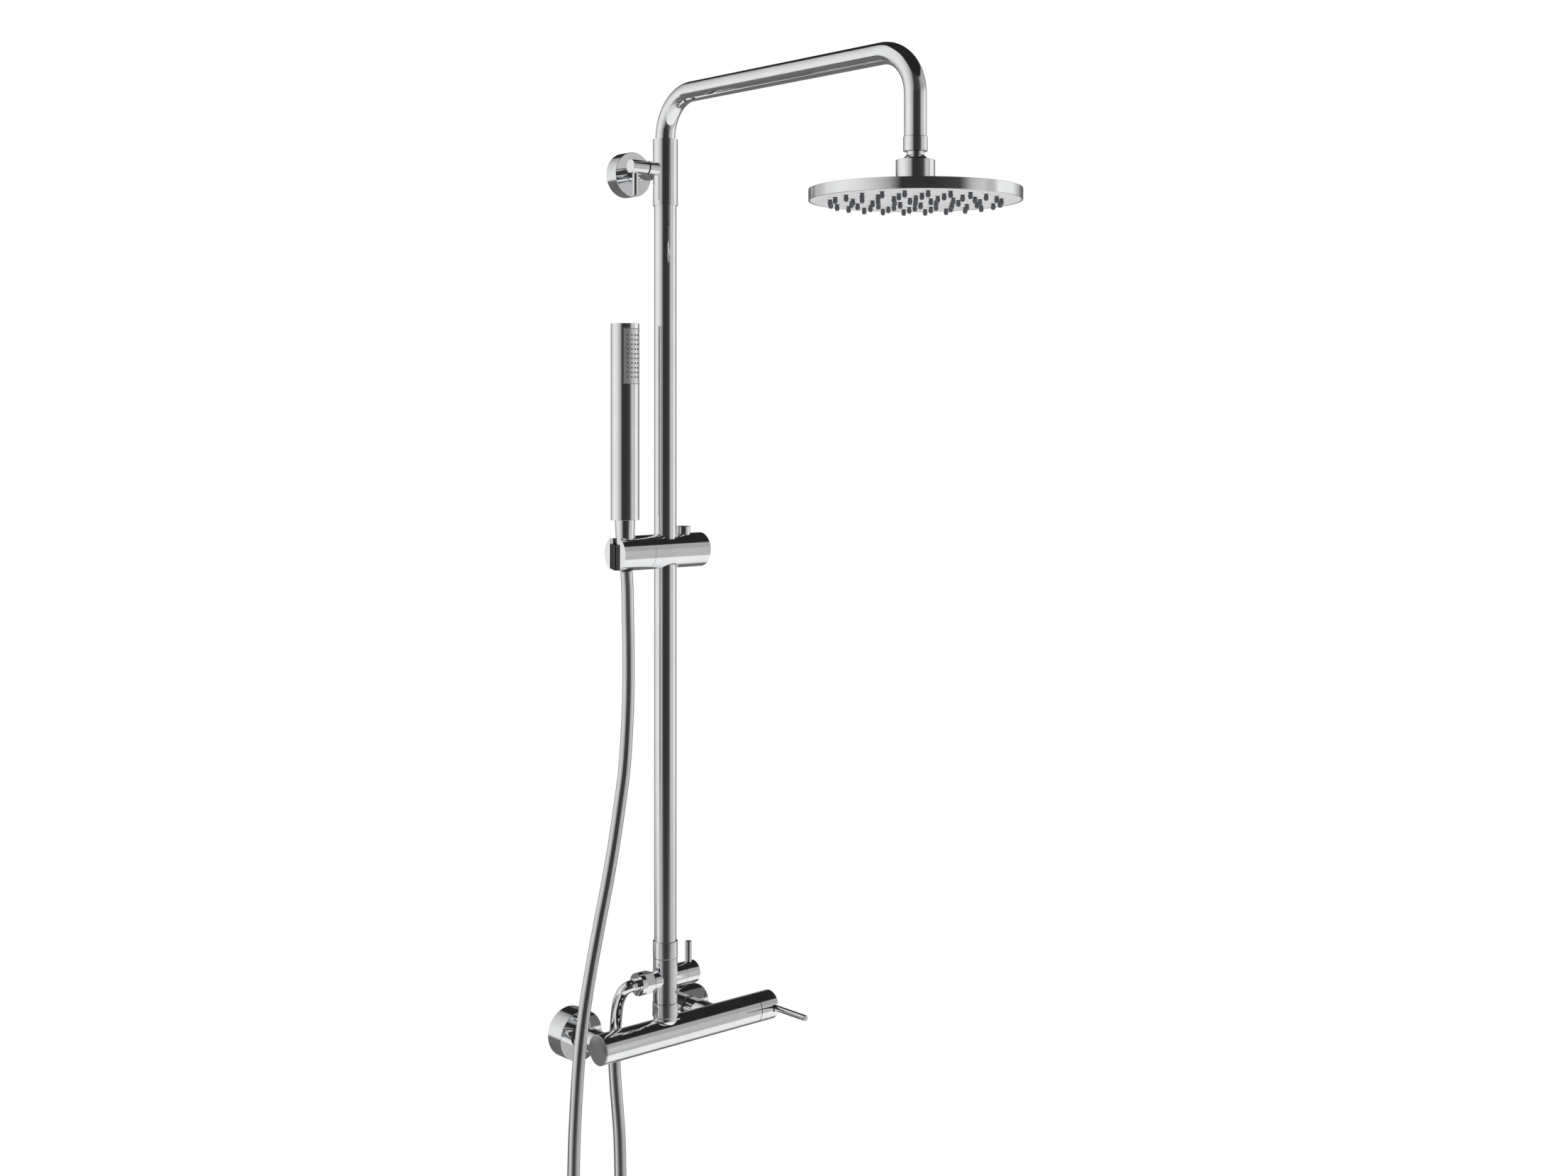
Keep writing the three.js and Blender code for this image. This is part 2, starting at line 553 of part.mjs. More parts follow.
const swivelTop = fromBall(swivel.top);
const swivelBottom = fromBall(head.hubTop) + GAP;
piece(headGroup, 'swivel_collar', turned('z', [
  [15, swivelBottom], [swivel.radius, swivelBottom], [swivel.radius, swivelTop - 0.5],
  [swivel.radius - 0.5, swivelTop], [13.1, swivelTop], [14.6, swivelTop - 1],
  ...sphereArc(15.9, 4.6, -7.6, 4), [15, -9.2], [15, swivelBottom],
], LARGE), CHROME);

const rim = { bottom: fromBall(head.bottom), top: fromBall(head.rimTop), hub: fromBall(head.hubTop) };
const innerRadius = head.radius - head.wall;
piece(headGroup, 'rain_head_shell', turned('z', [
  [10, rim.hub - 3], [96, rim.top - head.wall], [innerRadius, rim.top - head.wall - 0.8],
  [innerRadius, rim.bottom], [head.radius, rim.bottom], [head.radius, rim.top - 0.8],
  [head.radius - 0.8, rim.top], [head.hubRadius, rim.hub - 1.2], [head.hubRadius - 1, rim.hub],
  [10, rim.hub], [10, rim.hub - 3],
], HEAD), CHROME);

/** Nozzle places on the rain head: rings of a growing count around one in the centre. */
const NOZZLE_RINGS = [[0, 1], [20, 6], [40, 12], [60, 18], [80, 24]];
const nozzlePlaces = NOZZLE_RINGS.flatMap(([radius, count]) =>
  Array.from({ length: count }, (_, i) => {
    const angle = (2 * Math.PI * (i + 0.5)) / count;
    return [radius * Math.cos(angle), radius * Math.sin(angle)];
  }));
const nozzle = { radius: 2.3, tip: 1.5, neck: 1.7, length: 5.6, hole: 3.1 };
const plate = { top: rim.bottom + 1.6, radius: innerRadius - GAP, mat: 86 };

/** One barrel-shaped nozzle that hangs from the mat through the face plate. */
function headNozzle([x, y]) {
  const tip = rim.bottom - nozzle.length;
  return turned('z', [
    [0, tip], [nozzle.tip, tip], [nozzle.radius, tip + 1.6], [nozzle.radius, tip + 3.4],
    [nozzle.neck, rim.bottom], [nozzle.neck, plate.top + 1], [0, plate.top + 1],
  ], 5, [x, y, 0]);
}

piece(headGroup, 'rain_face_plate', cut(
  rod('z', plate.radius, rim.bottom + 0.4, plate.top, HEAD),
  ...nozzlePlaces.map(([x, y]) => rod('z', nozzle.hole, rim.bottom - 1, plate.top + 1, 5, [x, y, 0])),
), SATIN_PLATE);
piece(headGroup, 'rain_nozzle_mat', join(
  rod('z', plate.mat, plate.top + GAP, plate.top + 1.8, LARGE),
  ...nozzlePlaces.map(headNozzle),
), GREY_SILICONE);

// ---------------------------------------------------------------- slider on the column
const slide = assembly(0, -WALL_TO_COLUMN, slider.axis);
const bush = { outer: 13.4, inner: column.radius + 0.25 };
const button = { radius: 7.65, top: 26.2, well: 8, floor: 9 };
const screw = { radius: 3, hole: 3.4 };

function sliderBody() {
  const body = bevelledRod('x', slider.radius, slider.seam + 0.2, slider.right, 0.6, 'to', LARGE);
  return cut(
    body,
    rod('z', bush.outer + GAP, -20, 20, LARGE),
    rod('z', button.well, button.floor, 20, ROUND, [slider.button, 0, 0]),
    rod('x', screw.hole, slider.seam - 1, 0, SMALL),
  );
}

piece(slide, 'slider_body', sliderBody(), CHROME);
piece(slide, 'slider_bush', sleeve('z', bush.outer, bush.inner, -13.4, 13.4, LARGE), BLACK_PLASTIC);
piece(slide, 'lock_spring',
  sleeve('z', 4.6, 3.2, button.floor + GAP, button.floor + 4, SMALL), STEEL, [slider.button, 0, 0]);
piece(slide, 'lock_button',
  bevelledRod('z', button.radius, button.floor + 6.4, button.top, 0.6, 'to'), CHROME,
  [slider.button, 0, 0]);

// ---------------------------------------------------------------- cradle with its slot
const cradle = { from: slider.left, to: slider.seam - 0.3, holeTop: 10.9, holeBottom: 9.9, slot: 17.8 };
const slotDepth = handset.x - cradle.from;

function cradleShape() {
  const body = bevelledRod('x', slider.radius, cradle.from, cradle.to, 0.6, 'from', LARGE);
  return cut(
    body,
    turned('z', [[0, -20], [cradle.holeBottom, -20], [cradle.holeTop, 20], [0, 20]], ROUND,
      [handset.x, 0, 0]),
    box(slotDepth + 2, cradle.slot, 40, cradle.from - 1 + slotDepth / 2, 0, 0),
    rod('x', screw.hole, cradle.to - 14, cradle.to + 1, SMALL),
  );
}

/** Plastic sleeve in the lower part of the cradle, with a block that fills the slot but for a slit. */
const liner = { low: -17.5, high: 9.5, outer: [9.66, 10.34], inner: [9, 9.9], slit: 1.6 };

function cradleLiner() {
  const { low, high, outer, inner, slit } = liner;
  const at = [handset.x, 0, 0];
  const sleeveShape = turned('z', [[0, low], [outer[0], low], [outer[1], high], [0, high]], ROUND, at);
  const front = cradle.from + 0.8;
  const depth = handset.x - 6 - front;
  const block = box(depth, cradle.slot - 2 * GAP, high - low, front + depth / 2, 0, (low + high) / 2)
    .intersect(rod('x', slider.radius - 0.8, cradle.from, cradle.to, LARGE));
  return cut(
    join(sleeveShape, block),
    turned('z', [[0, low - 1], [inner[0], low - 1], [inner[1], high + 1], [0, high + 1]], ROUND, at),
    box(depth, slit, 60, front + depth / 2 - 1, 0, 0),
  );
}

piece(slide, 'handset_cradle', cradleShape(), CHROME);
piece(slide, 'cradle_liner', cradleLiner(), BLACK_PLASTIC);
piece(slide, 'cradle_pivot_screw',
  rod('x', screw.radius, cradle.to - 13, -bush.outer - 0.7, SMALL), STEEL);

// ---------------------------------------------------------------- hand shower
const hand = assembly(handset.x, -WALL_TO_COLUMN, 0);
const panel = { low: 700, high: 758.5, half: 43 * THREE.MathUtils.DEG2RAD, thickness: 1.6 };
const shellWall = 1.4;
const tailEnd = 547;

/** Window in the shell's front for the spray panel, as a wedge that opens towards -Y. */
function panelWedge(inner, outer, half, low, high) {
  const outline = new THREE.Shape();
  outline.absarc(0, 0, outer, -Math.PI / 2 - half, -Math.PI / 2 + half, false);
  outline.absarc(0, 0, inner, -Math.PI / 2 + half, -Math.PI / 2 - half, true);
  outline.closePath();
  const settings = { depth: high - low, bevelEnabled: false, curveSegments: 8 };
  return solid(new THREE.ExtrudeGeometry(outline, settings).translate(0, 0, low));
}

function handsetShell() {
  const { radius, bottom, top, tailRadius } = handset;
  const shell = turned('z', [
    [7, tailEnd], [tailRadius - 0.5, tailEnd], [tailRadius, bottom], [radius - 0.6, bottom],
    [radius, bottom + 0.6], [radius, top - 0.6], [radius - 0.6, top], [0, top], [0, top - 2],
    [radius - shellWall, top - 2], [radius - shellWall, bottom + 2], [7, bottom + 2], [7, tailEnd],
  ], LARGE);
  return cut(shell, panelWedge(radius - 4, radius + 2, panel.half, panel.low, panel.high));
}

const HAND_NOZZLES = { rows: 10, columns: 4, pitch: 4.94, turn: 17 * THREE.MathUtils.DEG2RAD };

/** Curved spray panel with its rows of small nozzles. */
function sprayPanel() {
  const { rows, columns, pitch, turn } = HAND_NOZZLES;
  const outer = handset.radius - 0.2;
  const trim = GAP / handset.radius;
  const plateShape = panelWedge(outer - panel.thickness, outer, panel.half - trim,
    panel.low + GAP, panel.high - GAP);
  const middle = (panel.low + panel.high) / 2;
  const tips = [];
  for (let row = 0; row < rows; row += 1) {
    for (let side = 0; side < columns; side += 1) {
      const tip = new THREE.CylinderGeometry(0.9, 0.65, 1.6, 5).translate(0, -outer - 0.2, 0);
      tip.rotateZ((side - (columns - 1) / 2) * turn);
      tips.push(solid(tip.translate(0, 0, middle + (row - (rows - 1) / 2) * pitch)));
    }
  }
  return join(plateShape, ...tips);
}

piece(hand, 'handset_shell', handsetShell(), CHROME);
piece(hand, 'handset_spray_panel', sprayPanel(), WHITE_PLASTIC);
piece(hand, 'hose_cone_nut', cut(
  turned('z', [
    [0, 503], [8.4, 503], [9.3, 520], [10.2, tailEnd - 1], [10.2, tailEnd - GAP], [0, tailEnd - GAP],
  ]),
  rod('z', 4.6, 502, tailEnd + 1, SMALL),
), CHROME);

export default shower;
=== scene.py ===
# %% [markdown]
# # A rainfall shower column in polished chrome
# The shower hangs on a wall: a mixer bar, a diverter, a column with a swivel arm and a round rain
# head, and a hand shower in a sliding cradle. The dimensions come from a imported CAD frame, and each
# cell below gives one piece the smooth shape and the finish that the CAD solid only hints at.

# %% Load the frame
import json
import math

import bmesh
import bpy
from mathutils import Matrix, Vector

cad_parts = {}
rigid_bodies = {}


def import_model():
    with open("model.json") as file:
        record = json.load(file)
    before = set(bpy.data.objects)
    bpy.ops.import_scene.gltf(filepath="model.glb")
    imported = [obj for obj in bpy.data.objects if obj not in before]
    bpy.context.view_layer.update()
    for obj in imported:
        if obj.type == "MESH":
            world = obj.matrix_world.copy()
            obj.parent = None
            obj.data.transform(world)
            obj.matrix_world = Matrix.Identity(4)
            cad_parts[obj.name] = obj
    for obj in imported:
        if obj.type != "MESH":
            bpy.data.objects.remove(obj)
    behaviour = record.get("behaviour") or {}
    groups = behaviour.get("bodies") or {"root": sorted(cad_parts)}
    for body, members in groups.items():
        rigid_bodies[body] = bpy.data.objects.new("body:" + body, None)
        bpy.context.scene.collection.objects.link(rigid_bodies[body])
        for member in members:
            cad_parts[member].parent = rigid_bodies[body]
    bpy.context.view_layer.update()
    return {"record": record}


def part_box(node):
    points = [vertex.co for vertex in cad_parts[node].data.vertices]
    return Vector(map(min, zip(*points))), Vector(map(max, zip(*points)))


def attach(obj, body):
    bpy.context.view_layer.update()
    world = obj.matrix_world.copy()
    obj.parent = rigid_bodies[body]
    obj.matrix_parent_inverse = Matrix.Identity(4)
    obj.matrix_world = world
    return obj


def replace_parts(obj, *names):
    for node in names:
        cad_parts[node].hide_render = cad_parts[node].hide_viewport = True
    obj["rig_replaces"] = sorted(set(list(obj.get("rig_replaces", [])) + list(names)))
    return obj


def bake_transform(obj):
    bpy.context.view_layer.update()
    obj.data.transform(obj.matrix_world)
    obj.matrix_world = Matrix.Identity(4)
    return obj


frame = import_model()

MM = 0.001

# %% [markdown]
# ## Camera
# Chrome has no colour of its own, so where the camera stands decides what each surface mirrors. The
# camera stands left of the column at about two thirds of its height. It is kept level, and a lens
# shift frames the object instead of a tilt, so that the upright pieces stay upright.

# %% Camera
camera = bpy.data.objects.new("camera", bpy.data.cameras.new("camera"))
bpy.context.scene.collection.objects.link(camera)
camera.location = (-1.2823, -1.7044, 0.669)
camera.rotation_euler = (math.radians(90), 0, math.radians(-41.73))
camera.data.sensor_width = 36
camera.data.lens = 43.985
camera.data.shift_y = -0.1115
camera.data.clip_end = 50
bpy.context.scene.camera = camera
print("camera", tuple(round(v, 3) for v in camera.location))

# %% [markdown]
# ## Nodes and colours
# One small function adds a node, sets its inputs and joins its links. Another turns the hex colours
# that a paint chart gives into the linear values that shaders work in.


# %% Node and colour helpers
def add(tree, kind, inputs=None, **settings):
    """Adds a node; inputs maps a socket to a value or to the output that feeds it."""
    node = tree.nodes.new(kind)
    for name, value in settings.items():
        setattr(node, name, value)
    for socket, value in (inputs or {}).items():
        if isinstance(value, bpy.types.NodeSocket):
            tree.links.new(value, node.inputs[socket])
        else:
            node.inputs[socket].default_value = value
    return node


def linear(colour):
    """An sRGB hex colour such as "c8cacc" as linear RGBA."""
    parts = [int(colour[i:i + 2], 16) / 255 for i in (0, 2, 4)]
    bent = [p / 12.92 if p <= 0.04045 else ((p + 0.055) / 1.055) ** 2.4 for p in parts]
    return (*bent, 1)


def ramp(tree, factor, stops, mode="LINEAR"):
    """A colour ramp from (place, value) stops; a value is a grey or a linear colour."""
    node = add(tree, "ShaderNodeValToRGB", {"Fac": factor})
    node.color_ramp.interpolation = mode
    for i, (place, value) in enumerate(stops):
        stop = node.color_ramp.elements[i] if i < 2 else node.color_ramp.elements.new(place)
        stop.position = place
        stop.color = value if isinstance(value, tuple) else (value, value, value, 1)
    return node.outputs["Color"]


# %% [markdown]
# ## Materials
# Every finish starts from what it is on the real shower. Chrome plate over polished brass is a
# mirror: what the eye reads is its reflections, softened by very fine polishing marks and by a
# slight waviness that the buffing wheel leaves. All patterns run on Object coordinates, in metres,
# so a scale is one over the size of the grain.


# %% Finish helper
def new_finish(name, colour, metallic, roughness, specular=0.5):
    """A material with its principled shader; colour is an sRGB hex value."""
    material = bpy.data.materials.new(name)
    material.use_nodes = True
    tree = material.node_tree
    shader = tree.nodes["Principled BSDF"]
    shader.inputs["Base Color"].default_value = linear(colour)
    shader.inputs["Metallic"].default_value = metallic
    shader.inputs["Roughness"].default_value = roughness
    if not metallic:
        shader.inputs["Specular IOR Level"].default_value = specular
    return material, tree, shader


def grain(tree, size, detail=2.0, stretch=(1, 1, 1), source="Object"):
    """Noise whose grains are about one size across, in metres."""
    place = add(tree, "ShaderNodeTexCoord").outputs[source]
    mapped = add(tree, "ShaderNodeMapping", {"Vector": place, "Scale": stretch})
    noise = add(tree, "ShaderNodeTexNoise", {
        "Vector": mapped.outputs["Vector"], "Scale": 1 / size, "Detail": detail, "Roughness": 0.5})
    return noise.outputs["Fac"]


def spread(tree, value, low, high, start=0.3, end=0.7):
    """Turns noise into a value between low and high."""
    node = add(tree, "ShaderNodeMapRange", {
        "Value": value, "From Min": start, "From Max": end, "To Min": low, "To Max": high})
    return node.outputs["Result"]


def bump(tree, shader, height, depth, strength=1.0):
    """Raises the surface by a height pattern; depth is in metres."""
    node = add(tree, "ShaderNodeBump", {"Height": height, "Distance": depth, "Strength": strength})
    tree.links.new(node.outputs["Normal"], shader.inputs["Normal"])


# %% Polished chrome plate
# Chrome on buffed brass: cool white metal, mirror smooth, with faint haze in patches 12 mm across
# and a buffing waviness of about 9 mm, a few hundredths of a millimetre deep.
chrome, tree, shader = new_finish("polished_chrome_plate", "f2f3f4", 1, 0.04)
tree.links.new(spread(tree, grain(tree, 0.012, 4), 0.015, 0.045), shader.inputs["Roughness"])
tint = ramp(tree, grain(tree, 0.03), [(0.35, linear("eff0f2")), (0.65, linear("f5f6f6"))])
tree.links.new(tint, shader.inputs["Base Color"])
bump(tree, shader, grain(tree, 0.011, 0), 0.000012, 0.2)

# %% Satin plate, silicone, rubber and plastics
# The head's face is stamped stainless steel with a satin finish: brushed grain 0.4 mm wide that
# runs across it, drawn as coarse as it needs to show.
satin, tree, shader = new_finish("satin_stainless_plate", "dcddde", 0.12, 0.4)
lines = grain(tree, 0.0008, 3, (1, 0.06, 1))
tree.links.new(spread(tree, lines, 0.34, 0.48), shader.inputs["Roughness"])
tree.links.new(ramp(tree, lines, [(0.3, linear("dedfe0")), (0.7, linear("ececed"))]),
               shader.inputs["Base Color"])
bump(tree, shader, lines, 0.00002, 0.5)

# Moulded silicone is soft and dull, with a fine bloom of about 0.3 mm.
silicone, tree, shader = new_finish("moulded_grey_silicone", "55585c", 0, 0.55, 0.4)
tree.links.new(spread(tree, grain(tree, 0.0012, 4), 0.45, 0.68), shader.inputs["Roughness"])
tree.links.new(ramp(tree, grain(tree, 0.004), [(0.3, linear("4c4f53")), (0.7, linear("5e6165"))]),
               shader.inputs["Base Color"])
bump(tree, shader, grain(tree, 0.0006, 2), 0.00004, 0.4)

# Nitrile seals are nearly black and matt, with a faint grain from the mould.
rubber, tree, shader = new_finish("black_nitrile_rubber", "1b1b1c", 0, 0.6, 0.3)
tree.links.new(spread(tree, grain(tree, 0.0015, 4), 0.5, 0.75), shader.inputs["Roughness"])
tree.links.new(ramp(tree, grain(tree, 0.002), [(0.3, linear("161617")), (0.7, linear("232324"))]),
               shader.inputs["Base Color"])
bump(tree, shader, grain(tree, 0.0005, 2), 0.00003, 0.4)

# Acetal liners and bushes are satin black, with the 0.4 mm spark texture of the tool.
acetal, tree, shader = new_finish("black_acetal", "202022", 0, 0.4, 0.5)
tree.links.new(spread(tree, grain(tree, 0.0008, 3), 0.32, 0.5), shader.inputs["Roughness"])
tree.links.new(ramp(tree, grain(tree, 0.006), [(0.3, linear("1b1b1d")), (0.7, linear("28282a"))]),
               shader.inputs["Base Color"])
bump(tree, shader, grain(tree, 0.0004, 2), 0.00002, 0.4)

# Metallised ABS spray panel: light and pearly, duller than the tube, with flow marks 8 mm across.
abs_panel, tree, shader = new_finish("metallised_abs", "e3e4e6", 0.7, 0.2)
tree.links.new(spread(tree, grain(tree, 0.003, 4), 0.16, 0.26), shader.inputs["Roughness"])
tree.links.new(ramp(tree, grain(tree, 0.008), [(0.3, linear("dfe0e2")), (0.7, linear("e9eaeb"))]),
               shader.inputs["Base Color"])
bump(tree, shader, grain(tree, 0.0007, 2), 0.00002, 0.3)

# Cartridge bodies are white acetal, a shade brighter than the panel.
white_acetal, tree, shader = new_finish("white_acetal", "e6e6e3", 0, 0.38, 0.5)
tree.links.new(spread(tree, grain(tree, 0.002, 3), 0.3, 0.46), shader.inputs["Roughness"])
tree.links.new(ramp(tree, grain(tree, 0.01), [(0.3, linear("dfdfdb")), (0.7, linear("ebebe8"))]),
               shader.inputs["Base Color"])

# Spindles, spring and wall plate are plain drawn steel with lengthwise drawing marks.
steel, tree, shader = new_finish("drawn_steel", "b7b9bc", 1, 0.3)
tree.links.new(spread(tree, grain(tree, 0.0006, 3, (1, 1, 0.1)), 0.22, 0.4),
               shader.inputs["Roughness"])
tree.links.new(ramp(tree, grain(tree, 0.008), [(0.3, linear("aeb0b3")), (0.7, linear("c1c3c5"))]),
               shader.inputs["Base Color"])

# The wall connectors are brass under the same plate: a sliver shows between the cups and nuts.
FINISHES = {
    "chrome": chrome, "brass": chrome, "steel": steel, "black_rubber": rubber,
    "black_plastic": acetal, "white_plastic": abs_panel, "satin_plate": satin,
    "grey_silicone": silicone,
}
print("finishes:", ", ".join(sorted({m.name for m in FINISHES.values()})))

# %% [markdown]
# ## Turned and swept pieces
# Nearly every part of a shower comes off a lathe, so most pieces are a half outline that Spin turns
# once round. The sharp rims are then rounded with Bevel, since no plated edge is truly sharp, and
# weighted normals keep the flat and the straight faces free of shading gradients. Pipes are a ring
# of edges, extruded from station to station along their route.

# %% Helpers for finished meshes
OWNER = {node: body for body, nodes in frame["record"]["behaviour"]["bodies"].items()
         for node in nodes}
SLOT = {part["node"]: part["material_slot"] for part in frame["record"]["subparts"]}
AXES = {"x": Matrix.Rotation(math.radians(90), 4, "Y"),
        "y": Matrix.Rotation(math.radians(-90), 4, "X"), "z": Matrix.Identity(4)}


def place_of(node, axis):
    """A round CAD piece's middle, its two ends along an axis and its radius, in millimetres."""
    low, high = (Vector(corner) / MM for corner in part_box(node))
    i = "xyz".index(axis)
    middle = (low + high) / 2
    middle[i] = 0
    radius = min((high[j] - low[j]) / 2 for j in range(3) if j != i)
    return middle, low[i], high[i], radius


def to_object(bm, name):
    """A bmesh in millimetres becomes a smooth object in metres."""
    bmesh.ops.scale(bm, vec=(MM, MM, MM), verts=bm.verts)
    mesh = bpy.data.meshes.new(name)
    bm.to_mesh(mesh)
    bm.free()
    obj = bpy.data.objects.new(name, mesh)
    bpy.context.scene.collection.objects.link(obj)
    return obj


def settle(obj, sharp=40):
    """Smooth shading, sharp creases by angle, and weighted normals, all in the mesh."""
    obj.data.shade_smooth()
    obj.data.set_sharp_from_angle(angle=math.radians(sharp))
    weighted = obj.modifiers.new("weighted", "WEIGHTED_NORMAL")
    weighted.keep_sharp = True
    weighted.weight = 60
    return applied(obj)


def applied(obj):
    """Writes the modifiers into the mesh."""
    evaluated = obj.evaluated_get(bpy.context.evaluated_depsgraph_get())
    mesh = bpy.data.meshes.new_from_object(evaluated)
    mesh.name = obj.name
    obj.modifiers.clear()
    old, obj.data = obj.data, mesh
    bpy.data.meshes.remove(old)
    return obj


def finished(obj, *nodes, sharp=40):
    """A piece that stands for CAD nodes: same body, same slot, that slot's finish."""
    settle(obj, sharp)
    slot = SLOT[nodes[0]]
    obj.data.materials.clear()
    obj.data.materials.append(FINISHES[slot])
    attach(obj, OWNER[nodes[0]])
    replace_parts(obj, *nodes)
    print(f"{obj.name}: {len(obj.data.polygons)} faces")
    return obj


def round_rims(bm, width, segments=3, angle=30):
    """Bevels every edge that turns by more than an angle."""
    rims = [e for e in bm.edges if e.is_manifold and e.calc_face_angle() > math.radians(angle)]
    if rims and width:
        bmesh.ops.bevel(bm, geom=rims, offset=width, offset_type="OFFSET", segments=segments,
                        profile=0.5, affect="EDGES", clamp_overlap=True, material=-1)


def turned(axis, at, profile, rim=0.3, steps=128, segments=3):
    """A bmesh spun from a half outline of (radius, distance) points, in millimetres."""
    bm = bmesh.new()
    corners = [bm.verts.new((radius, 0, distance)) for radius, distance in profile]
    outline = [bm.edges.new(pair) for pair in zip(corners, corners[1:])]
    if profile[0][0] > 0 or profile[-1][0] > 0:
        outline.append(bm.edges.new((corners[-1], corners[0])))
    bmesh.ops.spin(bm, geom=corners + outline, cent=(0, 0, 0), axis=(0, 0, 1),
                   angle=2 * math.pi, steps=steps, use_merge=True)
    bmesh.ops.remove_doubles(bm, verts=bm.verts, dist=1e-4)
    bmesh.ops.recalc_face_normals(bm, faces=bm.faces)
    round_rims(bm, rim, segments)
    bmesh.ops.transform(bm, matrix=Matrix.Translation(at) @ AXES[axis], verts=bm.verts)
    return bm


def lathe(name, axis, at, profile, *nodes, rim=0.3, steps=128, segments=3):
    """A finished turned piece."""
    return finished(to_object(turned(axis, at, profile, rim, steps, segments), name), *nodes)


def pin(start, end, radius):
    """Half outline of a plain solid rod."""
    return [(0, start), (radius, start), (radius, end), (0, end)]


def tube(start, end, outer, inner):
    """Half outline of a tube or ring."""
    return [(inner, start), (outer, start), (outer, end), (inner, end)]


def carved(obj, cutters, how="DIFFERENCE"):
    """Cuts, joins or intersects an object with others, which are used up."""
    for cutter in cutters:
        tool = obj.modifiers.new(how.lower(), "BOOLEAN")
        tool.operation, tool.solver, tool.object = how, "EXACT", cutter
    applied(obj)
    for cutter in cutters:
        bpy.data.objects.remove(cutter)
    return obj


def softened(obj, width, segments=3, angle=32):
    """Rounds the creases that a cut leaves."""
    bm = bmesh.new()
    bm.from_mesh(obj.data)
    bmesh.ops.remove_doubles(bm, verts=bm.verts, dist=2e-6)
    bmesh.ops.dissolve_degenerate(bm, edges=bm.edges, dist=2e-6)
    round_rims(bm, width * MM, segments, angle)
    bm.to_mesh(obj.data)
    bm.free()
    return obj


def along_route(points, step):
    """Evenly spaced points on one smooth centripetal curve through the given points."""
    pts = [Vector(p) for p in points]
    pts = [2 * pts[0] - pts[1], *pts, 2 * pts[-1] - pts[-2]]
    fine = []
    for a, b, c, d in zip(pts, pts[1:], pts[2:], pts[3:]):
        t = [0.0]
        for p, q in ((a, b), (b, c), (c, d)):
            t.append(t[-1] + math.sqrt((q - p).length))
        for k in range(12):
            s = t[1] + (t[2] - t[1]) * k / 12
            ab = a.lerp(b, (s - t[0]) / (t[1] - t[0]))
            bc = b.lerp(c, (s - t[1]) / (t[2] - t[1]))
            cd = c.lerp(d, (s - t[2]) / (t[3] - t[2]))
            abc = ab.lerp(bc, (s - t[0]) / (t[2] - t[0]))
            bcd = bc.lerp(cd, (s - t[1]) / (t[3] - t[1]))
            fine.append(abc.lerp(bcd, (s - t[1]) / (t[2] - t[1])))
    fine.append(pts[-2])
    lengths = [0.0]
    for p, q in zip(fine, fine[1:]):
        lengths.append(lengths[-1] + (q - p).length)
    count = max(2, round(lengths[-1] / step))
    spaced, i = [], 0
    for k in range(count + 1):
        want = lengths[-1] * k / count
        while i < len(fine) - 2 and lengths[i + 1] < want:
            i += 1
        share = (want - lengths[i]) / (lengths[i + 1] - lengths[i])
        spaced.append(fine[i].lerp(fine[i + 1], share))
    return spaced, lengths[-1]


def swept(route, radius, sides=48):
    """A ring of edges, extruded along a route and turned with it; its UV is turn and length."""
    bm = bmesh.new()
    along = bm.verts.layers.float.new("along")
    around = bm.verts.layers.float.new("around")
    tangents = [(route[min(i + 1, len(route) - 1)] - route[max(i - 1, 0)]).normalized()
                for i in range(len(route))]
    first = bmesh.ops.create_circle(bm, segments=sides, radius=radius)["verts"]
    for k, vert in enumerate(first):
        vert[around] = k / sides
    bmesh.ops.transform(bm, verts=first, matrix=Matrix.Translation(route[0])
                        @ Vector((0, 0, 1)).rotation_difference(tangents[0]).to_matrix().to_4x4())
    ring, length = list(bm.edges), 0.0
    for i in range(1, len(route)):
        length += (route[i] - route[i - 1]).length
        fresh = bmesh.ops.extrude_edge_only(bm, edges=ring)["geom"]
        verts = [g for g in fresh if isinstance(g, bmesh.types.BMVert)]
        ring = [g for g in fresh if isinstance(g, bmesh.types.BMEdge)]
        turn = tangents[i - 1].rotation_difference(tangents[i]).to_matrix()
        bmesh.ops.rotate(bm, cent=route[i - 1], matrix=turn, verts=verts)
        bmesh.ops.translate(bm, vec=route[i] - route[i - 1], verts=verts)
        for vert in verts:
            vert[along] = length
    bmesh.ops.holes_fill(bm, edges=[e for e in bm.edges if e.is_boundary], sides=0)
    bmesh.ops.recalc_face_normals(bm, faces=bm.faces)
    uv = bm.loops.layers.uv.new("UVMap")
    for face in bm.faces:
        turns = [loop.vert[around] for loop in face.loops]
        wraps = max(turns) - min(turns) > 0.5
        for loop, turn in zip(face.loops, turns):
            loop[uv].uv = (turn + 1 if wraps and turn < 0.5 else turn, loop.vert[along] * MM)
    return bm
